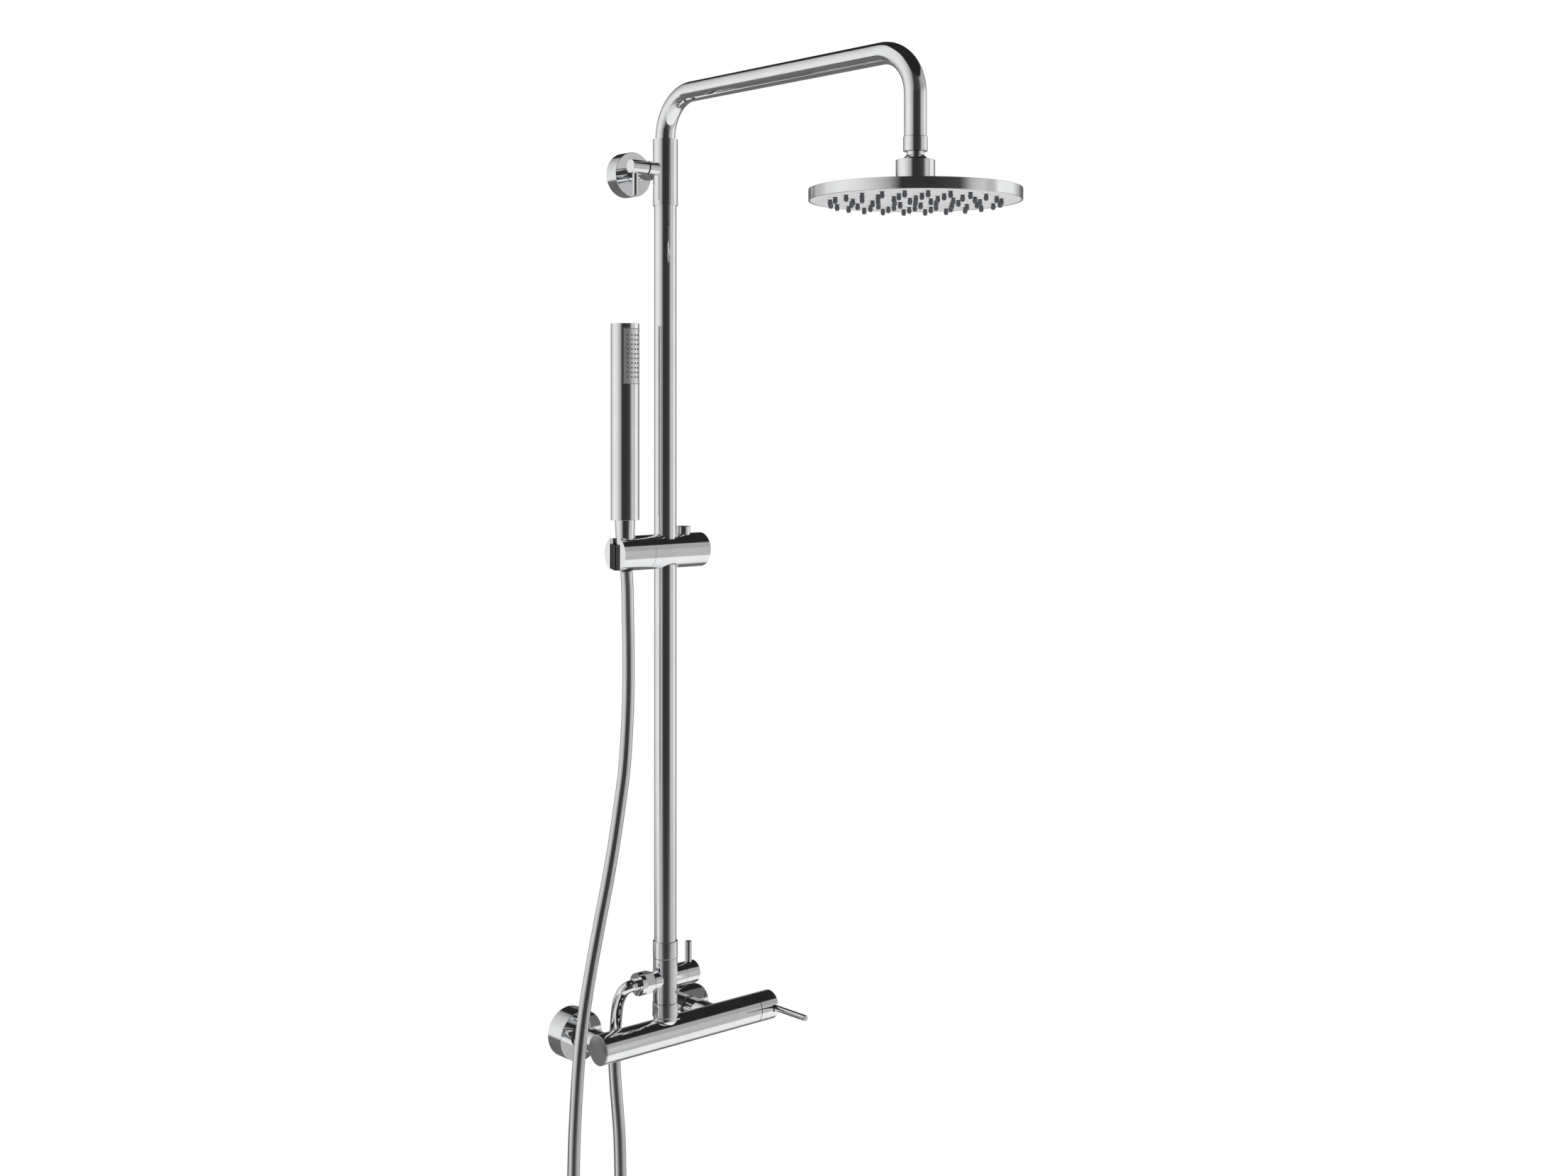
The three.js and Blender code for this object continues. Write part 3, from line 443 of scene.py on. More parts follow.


# %% [markdown]
# ## Hose
# The hose is a smooth silver one, 13 mm across and 1.5 m long with its nuts. It leaves the hand
# shower's cone nut, swings down and out in a free loop below the bar, and comes back up to the
# pipe behind it. It is swept along the same route as its CAD solid, so it keeps its real length.
# It is made in two lengths that meet end to end, since one blend spans one joint.

# %% Hose finish
# A clear PVC sheath over a silver braid: a pearly metal under gloss, with the braid's 3 mm spiral
# just visible through it, and slight dulling in patches.
sheath, tree, shader = new_finish("silver_braided_pvc_sheath", "dcdddf", 0.92, 0.13)
uv = add(tree, "ShaderNodeTexCoord").outputs["UV"]
parts = add(tree, "ShaderNodeSeparateXYZ", {"Vector": uv}).outputs
turns = add(tree, "ShaderNodeMath", {0: parts["X"], 1: 12 * math.pi}, operation="MULTIPLY")
metres = add(tree, "ShaderNodeMath", {0: parts["Y"], 1: 2 * math.pi / 0.006}, operation="MULTIPLY")
waves = []
for operation in ("ADD", "SUBTRACT"):
    phase = add(tree, "ShaderNodeMath", {0: turns.outputs[0], 1: metres.outputs[0]},
                operation=operation)
    waves.append(add(tree, "ShaderNodeMath", {0: phase.outputs[0]}, operation="SINE").outputs[0])
braid = add(tree, "ShaderNodeMath", {0: waves[0], 1: waves[1]}, operation="MULTIPLY").outputs[0]
tree.links.new(ramp(tree, spread(tree, braid, 0, 1, -1, 1),
                    [(0.0, linear("dddee0")), (1.0, linear("e6e7e8"))]),
               shader.inputs["Base Color"])
tree.links.new(spread(tree, grain(tree, 0.01, 3), 0.1, 0.16), shader.inputs["Roughness"])
shader.inputs["Coat Weight"].default_value = 0.3
shader.inputs["Coat Roughness"].default_value = 0.05
FINISHES["silver_hose"] = sheath

# %% Hose
COLUMN, _, _, COLUMN_RADIUS = place_of("column_tube", "z")
HOSE_ROUTE = [(x, y + COLUMN.y, z) for x, y, z in [
    (-52.4, 0, 501), (-51.1, 0, 482), (-50.6, 0, 458), (-49.8, 0, 420), (-50, 0, 370),
    (-52.2, 0, 325), (-55.6, 0, 288), (-60.6, 0, 258), (-68.4, 0, 216), (-77.3, 0, 175),
    (-87.5, 0, 134), (-99.2, 0, 84), (-107.6, 0, 42), (-114, 0, -4), (-119.3, 0.4, -79),
    (-121.6, 0.9, -150), (-126.5, 1.5, -213), (-136.3, 2.2, -272), (-148.5, 3.2, -331),
    (-156, 4.5, -384), (-152.5, 6, -405.7), (-140.6, 7.5, -425.2), (-121.9, 9, -438.5),
    (-99.5, 10.5, -443.5), (-77, 12, -439.3), (-57.8, 13.5, -426.7), (-45.2, 15, -407.5),
    (-41, 16.5, -386), (-41.2, 17.6, -325), (-43, 18.3, -255), (-45.6, 18.8, -180),
    (-47.5, 19.2, -104), (-49.8, 21.8, -58), (-50.9, 23.1, -32), (-51, 23.2, -24.5)]]
HOSE_RADIUS, STATION, TOP_END, STRAIGHT, IN_NUT = 6.5, 5, 352, 5, 7
hose_points, hose_length = along_route(HOSE_ROUTE, STATION)
split = next(k for k, p in enumerate(hose_points) if p.z < TOP_END)
hose = settle(to_object(swept(hose_points[split:], HOSE_RADIUS, 40), "hand_shower_hose"))
hose_top = settle(to_object(swept(hose_points[:split + 1], HOSE_RADIUS, 40), "hose_top"))
for obj in (hose, hose_top):
    obj.data.materials.append(sheath)
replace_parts(hose, "shower_hose")
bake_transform(hose)
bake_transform(hose_top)
print(f"hose {hose_length:.0f} mm, lowest point {min(p.z for p in hose_points):.0f} mm")

# %% [markdown]
# ## Studio
# Chrome only shows what stands round it, so the studio is painted on the world by direction: tall
# soft boxes to the left and right, a dark gap towards the camera, a dark ceiling and a pale floor.
# Two values come from each direction: its bearing from the camera's side, and its height.

# %% World
world = bpy.data.worlds.new("studio")
bpy.context.scene.world = world
world.use_nodes = True
tree = world.node_tree
tree.nodes.clear()
STUDIO_TURN = 131.73
direction = add(tree, "ShaderNodeTexCoord").outputs["Generated"]
facing = add(tree, "ShaderNodeVectorRotate", {
    "Vector": direction, "Angle": math.radians(STUDIO_TURN)}, rotation_type="Z_AXIS")
xyz = add(tree, "ShaderNodeSeparateXYZ", {"Vector": facing.outputs["Vector"]}).outputs
bearing = add(tree, "ShaderNodeMath", {0: xyz["Y"], 1: xyz["X"]}, operation="ARCTAN2").outputs[0]
bearing = spread(tree, bearing, 0, 1, -math.pi, math.pi)
height = add(tree, "ShaderNodeMath", {0: xyz["Z"]}, operation="ARCSINE").outputs[0]


def by_bearing(stops):
    """A grey that depends on the bearing in degrees: minus is left, plus is right."""
    return ramp(tree, bearing, [((degrees + 180) / 360, value) for degrees, value in stops])


def step(value, edge, width):
    """Smooth step up where value passes edge, an output or a number in radians."""
    gap = add(tree, "ShaderNodeMath", {0: value, 1: edge}, operation="SUBTRACT").outputs[0]
    node = add(tree, "ShaderNodeMapRange", {"Value": gap, "From Min": -width, "From Max": width},
               interpolation_type="SMOOTHSTEP")
    return node.outputs["Result"]


def blend_of(factor, low, high):
    """Mixes two greys."""
    node = add(tree, "ShaderNodeMix", {0: factor, 6: low, 7: high}, data_type="RGBA")
    return node.outputs[2]


horizon = by_bearing([
    (-180, 0.16), (-156, 0.15), (-146, 0.2), (-138, 0.48), (-124, 0.55), (-112, 0.78),
    (-92, 0.86), (-72, 0.82), (-56, 0.69), (-48, 0.58), (-40, 0.48), (-33, 0.4), (-26, 0.22),
    (-19, 0.035), (15, 0.035), (44, 0.06), (50, 0.2), (57, 0.45), (66, 0.58), (74, 0.62),
    (80, 0.5), (88, 0.52), (95, 0.9), (122, 0.88), (134, 0.55), (143, 0.3), (152, 0.13),
    (180, 0.16)])
under = by_bearing([
    (-180, 0.16), (-160, 0.15), (-120, 0.13), (-85, 0.18), (-60, 0.7), (0, 0.9), (60, 0.93),
    (128, 0.9), (142, 0.75), (154, 0.16), (180, 0.16)])
middle_low = by_bearing([
    (-180, 0.15), (-140, 0.2), (-112, 0.6), (-104, 0.5), (-99.5, 0.05), (-95.5, 0.05),
    (-92, 0.8), (-72, 0.8), (-48, 0.6), (-26, 0.3), (-10, 0.05), (25, 0.05), (50, 0.25),
    (64, 0.46), (80, 0.48), (96, 0.58), (120, 0.62), (140, 0.4), (152, 0.13), (180, 0.15)])
middle_high = by_bearing([
    (-180, 0.12), (-156, 0.16), (-120, 0.6), (-92, 0.84), (-60, 0.7), (-30, 0.35), (-12, 0.04),
    (40, 0.06), (60, 0.34), (84, 0.4), (110, 0.5), (140, 0.3), (160, 0.12), (180, 0.12)])
ceiling_edge = by_bearing([
    (-180, 0.3), (-165, 0.35), (-148, 0.65), (-120, 1.0), (-60, 0.95), (-20, 0.7), (60, 0.62),
    (110, 0.64), (150, 0.45), (180, 0.3)])
ground_edge = by_bearing([
    (-180, 0.3), (-120, 0.27), (-99, 0.27), (-96, 0.42), (-60, 0.45), (0, 0.5), (70, 0.52),
    (140, 0.52), (180, 0.3)])
ceiling = step(height, ceiling_edge, 0.05)
depth = add(tree, "ShaderNodeMath", {0: height, 1: -1.0}, operation="MULTIPLY").outputs[0]
ground = step(depth, ground_edge, 0.04)
studio = blend_of(step(depth, 0.24, 0.08), horizon, middle_low)
studio = blend_of(step(height, 0.24, 0.08), studio, middle_high)
studio = blend_of(ground, studio, under)
studio = blend_of(ceiling, studio, (0.02, 0.02, 0.02, 1))
seen = add(tree, "ShaderNodeLightPath").outputs["Is Camera Ray"]
studio = blend_of(seen, studio, (1, 1, 1, 1))
background = add(tree, "ShaderNodeBackground", {"Color": studio, "Strength": 1.0})
add(tree, "ShaderNodeOutputWorld", {"Surface": background.outputs["Background"]})
bpy.context.scene.view_settings.view_transform = "Standard"
print("studio painted by direction")

# %% Light for the head's face
# A soft box on the floor lights the matt surfaces from below. It is left out of reflections.
lamp = bpy.data.lights.new("floor_soft_box", "AREA")
lamp.energy, lamp.size = 2.6, 0.5
soft_box = bpy.data.objects.new("floor_soft_box", lamp)
bpy.context.scene.collection.objects.link(soft_box)
soft_box.location = (0, -0.5, 0.35)
soft_box.rotation_euler = (math.radians(180), 0, 0)
soft_box.visible_camera = soft_box.visible_glossy = False

# %% Floor
# Pale painted plaster, with a trowel mottle about 60 mm across, far below the hose.
plaster, tree, shader = new_finish("pale_plaster", "ededec", 0, 0.7, 0.3)
tint = ramp(tree, grain(tree, 0.06, 5), [(0.3, linear("e9e9e8")), (0.7, linear("f2f2f1"))])
tree.links.new(tint, shader.inputs["Base Color"])
bm = bmesh.new()
bmesh.ops.create_grid(bm, x_segments=1, y_segments=1, size=1600)
bmesh.ops.translate(bm, vec=(0, 0, -1100), verts=bm.verts)
floor = to_object(bm, "floor")
floor.data.materials.append(plaster)
floor.visible_glossy = False

# %% [markdown]
# ## Mixer bar
# The bar is one brass casting: a tube that carries a short neck for the diverter on top and two
# bosses for the wall unions behind. Four turned shapes are joined with a Boolean, as the casting
# joins them, and the creases are then rounded. Its end is closed by a thin cap with a fine seam.

# %% Bar, end cap and seal
BAR_END = place_of("mixer_handle", "x")
BAR, BAR_RADIUS = BAR_END[0], BAR_END[3]
bar_left, bar_right = (corner[0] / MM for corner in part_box("bar_body"))
INLETS = [place_of(f"{side}_rosette", "y")[0] for side in ("left", "right")]
_, union_back, _, UNION_RADIUS = place_of("left_union_nut", "y")
bar = to_object(turned("x", BAR, pin(bar_left, bar_right, BAR_RADIUS), rim=0), "mixer_bar")
neck = to_object(turned("z", BAR, [(0, 8), (11, 8), (12.8, 14.1), (12.8, 17.6), (0, 17.6)], rim=0),
                 "neck")
bosses = [to_object(turned("y", (inlet.x, 0, inlet.z), pin(BAR.y, union_back - 0.3, UNION_RADIUS),
                           rim=0, steps=96), "boss") for inlet in INLETS]
carved(bar, [neck, *bosses], "UNION")
finished(softened(bar, 0.3), "bar_body")

middle, low, high, radius = place_of("bar_end_cap", "x")
lathe("bar_cap", "x", middle, [
    (0, low), (radius * 0.5, low + 0.08), (radius, low + 0.3), (radius, low + 1.3),
    (0, low + 1.3)], "bar_end_cap", rim=0.35)
middle, low, high, radius = place_of("handle_seal_ring", "x")
lathe("handle_seal", "x", middle, tube(low, high, radius, radius - 2.4), "handle_seal_ring",
      rim=0.1)

# %% [markdown]
# ## Wall unions
# Each inlet has a pressed cup against the wall, a black seal and a round union nut. They are tubes
# with rounded rims, so one outline does for both sides and for the cup of the upper bracket.


# %% Wall cups, seals and nuts
def wall_cup(name, node, hole, wall, rim):
    """A cup whose open side meets the wall."""
    middle, low, high, radius = place_of(node, "y")
    outline = [(radius - wall, high), (radius, high), (radius, low), (hole, low),
               (hole, low + wall), (radius - wall, low + wall)]
    return lathe(name, "y", middle, outline, node, rim=rim, steps=160, segments=4)


for side in ("left", "right"):
    wall_cup(f"{side}_wall_cup", f"{side}_rosette", 12.6, 1.3, 0.45)
    for name, node, rim in (("seal", "union_seal", 0.15), ("nut", "union_nut", 0.3)):
        middle, low, high, radius = place_of(f"{side}_{node}", "y")
        lathe(f"{side}_wall_{name}", "y", middle, tube(low, high, radius, 10.2),
              f"{side}_{node}", rim=rim)

# %% [markdown]
# ## Handle and lever
# The handle is a cup over the bar's end with a slot towards the bather, and the lever is a thin pin
# that stands in it. The slot is cut with a block; the pin has a turned groove just behind its tip.

# %% Handle cup and lever
middle, low, high, radius = place_of("mixer_handle", "x")
inside = radius - 1.8
cup = to_object(turned("x", middle, [
    (inside, low), (radius, low), (radius, high), (0, high), (0, high - 1.8),
    (inside, high - 1.8)], rim=0), "handle_cup")
bm = bmesh.new()
bmesh.ops.create_cube(bm, size=1)
SLOT_X, SLOT_FRONT, SLOT_HEIGHT = 151.5, 7.2, 7.6
bmesh.ops.scale(bm, vec=(20, 20, SLOT_HEIGHT), verts=bm.verts)
bmesh.ops.translate(bm, vec=(SLOT_X, middle.y - SLOT_FRONT, 0), verts=bm.verts)
finished(softened(carved(cup, [to_object(bm, "slot")]), 0.4), "mixer_handle")

middle, low, high, _ = place_of("mixer_lever", "y")
LEVER_X, PIVOT_X = 145.3, 141.5
lever = to_object(turned("y", (LEVER_X, 0, 0), [
    (0, low), (2.7, low), (3.3, low + 0.7), (3.3, low + 5), (3.05, low + 5.25),
    (3.3, low + 5.5), (3.3, BAR.y - 1), (0, BAR.y - 1)], rim=0.06, steps=64, segments=2),
    "lever_pin")
hub = to_object(turned("z", (PIVOT_X, BAR.y, 0), tube(-6, 6, 4.5, 1.9), rim=0, steps=64), "hub")
finished(carved(lever, [hub], "UNION"), "mixer_lever")

# %% [markdown]
# ## Diverter
# Above the bar sit a ring nut, the diverter body with its side boss and outlet stub, and a second
# ring nut that holds the column. The knob is a cup with a short upright pin, which tells by touch
# which way it is turned.

# %% Ring nuts and diverter body
middle, low, high, radius = place_of("lower_ring_nut", "z")
lathe("lower_nut", "z", middle, tube(low, high, radius, 11.2), "lower_ring_nut", rim=0.6)
middle, low, high, radius = place_of("upper_ring_nut", "z")
lathe("upper_nut", "z", middle, tube(low, high, radius, COLUMN_RADIUS + 0.3), "upper_ring_nut",
      rim=0.5)
KNOB, knob_low, knob_high, KNOB_RADIUS = place_of("diverter_knob", "x")
BODY_RADIUS, SPIGOT_RADIUS, SHOULDER, STUB_RADIUS = 13.25, 10.6, 81.2, 9.3
low, high = (corner / MM for corner in map(Vector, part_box("diverter_body")))
body = to_object(turned("z", COLUMN, [
    (0, low.z), (BODY_RADIUS, low.z), (BODY_RADIUS, SHOULDER), (SPIGOT_RADIUS, SHOULDER),
    (SPIGOT_RADIUS, high.z), (0, high.z)], rim=0), "diverter_casting")
boss = to_object(turned("x", KNOB, pin(0, high.x, KNOB_RADIUS), rim=0), "boss")
stub = to_object(turned("x", KNOB, pin(low.x, 0, STUB_RADIUS), rim=0), "stub")
finished(softened(carved(body, [boss, stub], "UNION"), 0.3), "diverter_body")

# %% Knob and its pin
knob = to_object(turned("x", KNOB, pin(knob_low, knob_high, KNOB_RADIUS), rim=0), "diverter_cup")
PIN, pin_low, pin_high, pin_radius = place_of("diverter_knob_pin", "z")
hole = to_object(turned("z", PIN, pin(KNOB.z + 7, KNOB.z + 20, pin_radius + 0.25),
                        rim=0, steps=64), "hole")
finished(softened(carved(knob, [hole]), 0.35), "diverter_knob")
lathe("diverter_pin", "z", PIN, pin(pin_low + 2, pin_high, pin_radius), "diverter_knob_pin",
      rim=0.5, steps=64)

# %% [markdown]
# ## Column
# A drawn and polished brass tube, straight and thin walled. Nothing else is needed than its ring
# section, spun with enough steps that a mirror finish shows no facets.

# %% Column tube
middle, low, high, radius = place_of("column_tube", "z")
lathe("column", "z", middle, tube(low, high, radius, radius - 1), "column_tube",
      rim=0.2, steps=192)

# %% [markdown]
# ## Hose outlet
# On the left of the diverter a union nut clamps a bent pipe that swings behind the bar. The nut is
# half hexagon, half round flange: a six-sided cone gives the flats, a turned shape cuts their
# corners as a lathe would, and the flange is joined on.

# %% Seal and union nut
middle, low, high, radius = place_of("outlet_seal", "x")
lathe("outlet_gasket", "x", middle, tube(low, high, radius, 6), "outlet_seal", rim=0.1, steps=96)
NUT, low, high, _ = place_of("outlet_union_nut", "x")
HEX_END, HEX_CORNER, FLANGE = -33.5, 12.4, 12.2
bm = bmesh.new()
bmesh.ops.create_cone(bm, cap_ends=True, segments=6, radius1=HEX_CORNER, radius2=HEX_CORNER,
                      depth=high - HEX_END)
bmesh.ops.rotate(bm, cent=(0, 0, 0), matrix=AXES["x"].to_3x3(), verts=bm.verts)
bmesh.ops.translate(bm, vec=(high / 2 + HEX_END / 2, NUT.y, NUT.z), verts=bm.verts)
flats = to_object(bm, "union_nut")
corners = to_object(turned("x", NUT, [
    (0, HEX_END - 1), (13, HEX_END - 1), (13, high - 2), (11, high), (0, high)], rim=0), "corners")
carved(flats, [corners], "INTERSECT")
flange = to_object(turned("x", NUT, pin(low, HEX_END + 0.5, FLANGE), rim=0), "flange")
carved(flats, [flange], "UNION")
bore = to_object(turned("x", NUT, pin(low - 1, high + 1, 7), rim=0, steps=96), "bore")
finished(softened(carved(flats, [bore]), 0.35), "outlet_union_nut")

# %% Ferrule, bent pipe and hose nut
middle, low, high, radius = place_of("outlet_ferrule", "x")
lathe("ferrule", "x", middle, tube(low, high, radius, 4.6), "outlet_ferrule", rim=0.25, steps=96)
PIPE_ROUTE = [(x, y + BAR.y, z) for x, y, z in [
    (-43.5, 0, 59), (-44.8, 0, 59), (-47.6, 0, 59), (-51.8, 3.6, 55.6), (-52.8, 10.5, 46.5),
    (-52, 16.2, 35), (-51.2, 20.8, 12), (-51, 23, -4), (-51, 23.2, -9)]]
BENT_RADIUS = 6.2
pipe_points, pipe_length = along_route(PIPE_ROUTE, 1.5)
finished(to_object(swept(pipe_points, BENT_RADIUS, 64), "bent_pipe"), "outlet_pipe")
middle, low, high, radius = place_of("hose_end_nut", "z")
lathe("hose_lower_nut", "z", middle, [
    (4.6, low), (7.2, low), (radius, low + 1), (radius, low + 4), (radius - 0.4, low + 4.4),
    (radius, low + 4.8), (radius, high - 1), (7.4, high), (4.6, high)], "hose_end_nut", rim=0.15,
    steps=96)
print(f"bent pipe {pipe_length:.0f} mm")

# %% [markdown]
# ## Upper bracket
# The collar joins the column to its wall arm and lets the swivel arm slide inside. Its side stub
# carries a locking knob with a small hanging pin. It is one casting, so it is joined, bored and
# only then rounded.

# %% Collar
COLLAR, _, _, LOCK_RADIUS = place_of("height_lock_knob", "x")
low, high = (corner / MM for corner in map(Vector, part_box("upper_collar")))
COLLAR_RADIUS, ARM_BORE, COLUMN_STOP = 13.35, 11.9, 915.3
collar = to_object(turned("z", COLUMN, pin(low.z, high.z, COLLAR_RADIUS), rim=0), "collar")
stub = to_object(turned("x", COLLAR, pin(low.x, 0, LOCK_RADIUS), rim=0, steps=96), "stub")
ARM_MIDDLE, arm_front, arm_back, ARM_RADIUS = place_of("upper_bracket_arm", "y")
boss = to_object(turned("y", ARM_MIDDLE, pin(COLUMN.y, high.y, ARM_RADIUS), rim=0), "boss")
carved(collar, [stub, boss], "UNION")
bore = to_object(turned("z", COLUMN, [
    (0, low.z - 1), (COLUMN_RADIUS + 0.3, low.z - 1), (COLUMN_RADIUS + 0.3, COLUMN_STOP),
    (ARM_BORE, COLUMN_STOP), (ARM_BORE, high.z + 1), (0, high.z + 1)], rim=0), "bore")
finished(softened(carved(collar, [bore]), 0.45), "upper_collar")

# %% Locking knob, bracket arm and its wall cup
middle, low, high, radius = place_of("height_lock_seal", "x")
lathe("lock_seal", "x", middle, tube(low, high, radius, 3.6), "height_lock_seal",
      rim=0.1, steps=96)
_, lock_low, _, _ = place_of("height_lock_knob", "x")
LOCK_FACE = -26.6
lathe("lock_knob", "x", COLLAR, pin(lock_low, LOCK_FACE, LOCK_RADIUS), "height_lock_knob", rim=0.5,
      steps=96)
middle, low, high, radius = place_of("height_lock_pin", "z")
lathe("lock_pin", "z", middle, pin(low, high, radius), "height_lock_pin", rim=0.45, steps=64)
lathe("bracket_arm", "y", ARM_MIDDLE, pin(arm_front, arm_back, ARM_RADIUS), "upper_bracket_arm",
      rim=0.2)
wall_cup("upper_wall_cup", "upper_rosette", 9.3, 1.4, 0.6)

# %% [markdown]
# ## Swivel arm
# One tube, bent twice on a mandrel. The route is two straight runs joined by quarter circles, and
# the ring of edges is carried along it, so both bends stay round.

# %% Swivel arm
low, high = (corner / MM for corner in map(Vector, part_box("shower_arm")))
PIPE_RADIUS = high.x
arm_top, arm_front = high.z - PIPE_RADIUS, low.y + PIPE_RADIUS
BACK_BEND, FRONT_BEND, BEND_STEPS, ARM_END = 45.5, 44, 32, 927.4
arm_route = [Vector((0, COLUMN.y, low.z)), Vector((0, COLUMN.y, arm_top - BACK_BEND - 0.5))]
for k in range(BEND_STEPS + 1):
    angle = math.pi / 2 * k / BEND_STEPS
    arm_route.append(Vector((0, COLUMN.y - BACK_BEND + BACK_BEND * math.cos(angle),
                             arm_top - BACK_BEND + BACK_BEND * math.sin(angle))))
arm_route.append(Vector((0, COLUMN.y - BACK_BEND - 0.5, arm_top)))
arm_route.append(Vector((0, arm_front + FRONT_BEND + 0.5, arm_top)))
for k in range(BEND_STEPS + 1):
    angle = math.pi / 2 * (1 + k / BEND_STEPS)
    arm_route.append(Vector((0, arm_front + FRONT_BEND + FRONT_BEND * math.cos(angle),
                             arm_top - FRONT_BEND + FRONT_BEND * math.sin(angle))))
arm_route.append(Vector((0, arm_front, arm_top - FRONT_BEND - 0.5)))
arm_route.append(Vector((0, arm_front, ARM_END)))
finished(to_object(swept(arm_route, PIPE_RADIUS, 96), "swivel_arm"), "shower_arm")

# %% [markdown]
# ## Ball joint and rain head
# The arm ends in a round nut and a polished ball, held by a collar that lets the head tilt. The
# head is a thin pressed dish: a steel face plate closes it, and rows of soft nozzles, moulded in
# one mat behind the plate, poke through its holes.


# %% Ball joint
def sphere_arc(radius, start, end, steps, centre):
    """Part of a sphere's outline, from one height to another."""
    first, last = math.asin(start / radius), math.asin(end / radius)
    angles = [first + (last - first) * k / steps for k in range(steps + 1)]
    return [(radius * math.cos(a), centre + radius * math.sin(a)) for a in angles]


HEAD, head_low, head_high, HEAD_RADIUS = place_of("rain_head_shell", "z")
middle, low, high, radius = place_of("arm_end_nut", "z")
lathe("arm_nut", "z", middle, tube(low, high, radius, 5), "arm_end_nut", rim=0.4)
BALL_CENTRE = next(j["pos_m"][2] for j in frame["record"]["behaviour"]["joints"]
                   if j["name"] == "head_tilt_front") / MM
_, _, stud_top, BALL_RADIUS = place_of("ball_stud", "z")
neck_height = math.sqrt(BALL_RADIUS ** 2 - 8.2 ** 2)
lathe("ball", "z", HEAD, [
    (0, BALL_CENTRE - 11.2), *sphere_arc(BALL_RADIUS, -11.2, neck_height, 40, BALL_CENTRE),
    (8.2, stud_top), (0, stud_top)], "ball_stud", rim=0.1, segments=2)
middle, low, high, radius = place_of("swivel_collar", "z")
lathe("head_collar", "z", middle, [
    (15, low), (radius, low), (radius, high), (13.1, high), (14.6, high - 1),
    *sphere_arc(15.9, 4.6, -7.6, 12, BALL_CENTRE), (15, BALL_CENTRE - 9.2)], "swivel_collar",
    rim=0.4)

# %% Rain head
rim_top = head_high - 5.9
lathe("head_dish", "z", HEAD, [
    (10, head_high - 3), (96, rim_top - 1.2), (HEAD_RADIUS - 1.2, rim_top - 2),
    (HEAD_RADIUS - 1.2, head_low), (HEAD_RADIUS, head_low), (HEAD_RADIUS, rim_top),
    (19.4, head_high - 1.2), (18.2, head_high), (10, head_high)], "rain_head_shell",
    rim=0.4, steps=256, segments=4)
NOZZLES = [(radius * math.cos(2 * math.pi * (k + 0.5) / count),
            radius * math.sin(2 * math.pi * (k + 0.5) / count))
           for radius, count in ((0, 1), (20, 6), (40, 12), (60, 18), (80, 24))
           for k in range(count)]
HOLE_RADIUS, MAT_RADIUS = 2.75, 86
middle, low, high, radius = place_of("rain_face_plate", "z")
plate = to_object(turned("z", middle, pin(low, high, radius), rim=0, steps=192), "face_plate")
bm = bmesh.new()
for x, y in NOZZLES:
    made = bmesh.ops.create_cone(bm, cap_ends=True, segments=20, radius1=HOLE_RADIUS,
                                 radius2=HOLE_RADIUS, depth=6)["verts"]
    bmesh.ops.translate(bm, vec=(middle.x + x, middle.y + y, (low + high) / 2), verts=made)
finished(softened(carved(plate, [to_object(bm, "holes")]), 0.15, 2), "rain_face_plate")

# %% Nozzles
_, tip, mat_top, _ = place_of("rain_nozzle_mat", "z")
bm = turned("z", HEAD, pin(high + 0.3, mat_top, MAT_RADIUS), rim=0.2, steps=96)
for x, y in NOZZLES:
    nozzle = turned("z", (middle.x + x, middle.y + y, 0), [
        (0, tip + 1.2), (0.6, tip + 1.2), (0.75, tip), (1.45, tip), (1.7, tip + 0.4),
        (2.3, tip + 1.7), (2.3, tip + 3.2), (1.7, low - 0.4), (1.7, high + 0.6), (0, high + 0.6)],
        rim=0, steps=12)
    loose = bpy.data.meshes.new("nozzle")
    nozzle.to_mesh(loose)
    nozzle.free()
    bm.from_mesh(loose)
    bpy.data.meshes.remove(loose)
finished(to_object(bm, "nozzle_mat"), "rain_nozzle_mat", sharp=50)

# %% [markdown]
# ## Slider and cradle
# A short thick rod rides on the column. Its right part holds the lock button, its left part turns
# and holds the hand shower in a tapered hole with a slot for the hose. Cutting such crossing holes
# by hand is fiddly, so Booleans make them, and a wider bevel gives the bright polished rims.

# %% Slider and lock button
SLIDER, low, high, SLIDER_RADIUS = place_of("slider_body", "x")
BUTTON, button_low, button_high, button_radius = place_of("lock_button", "z")
_, _, _, bush_radius = place_of("slider_bush", "z")
slider = to_object(turned("x", SLIDER, pin(low - 0.1, high, SLIDER_RADIUS), rim=0, steps=192),
                   "slider")
hole = to_object(turned("z", COLUMN, pin(SLIDER.z - 30, SLIDER.z + 30, bush_radius + 0.3), rim=0),
                 "hole")
well = to_object(turned("z", BUTTON, pin(SLIDER.z + 9, SLIDER.z + 30, button_radius + 0.35),
                        rim=0), "well")
finished(softened(carved(slider, [hole, well]), 0.7), "slider_body")
lathe("slider_button", "z", BUTTON, pin(button_low, button_high, button_radius), "lock_button",
      rim=0.6, steps=96, segments=4)

# %% Cradle and its liner
HAND, hand_low, hand_high, HAND_RADIUS = place_of("handset_shell", "z")
_, low, high, _ = place_of("handset_cradle", "x")
SLOT_WIDTH, SLIT_WIDTH, LINER_LOW, LINER_HIGH = 17.8, 1.6, -17.5, 9.5
cradle = to_object(turned("x", SLIDER, pin(low, high + 0.1, SLIDER_RADIUS), rim=0, steps=192),
                   "cradle")
taper = to_object(turned("z", (HAND.x, HAND.y, SLIDER.z), [
    (0, -20), (9.9, -20), (10.9, 20), (0, 20)], rim=0), "taper")


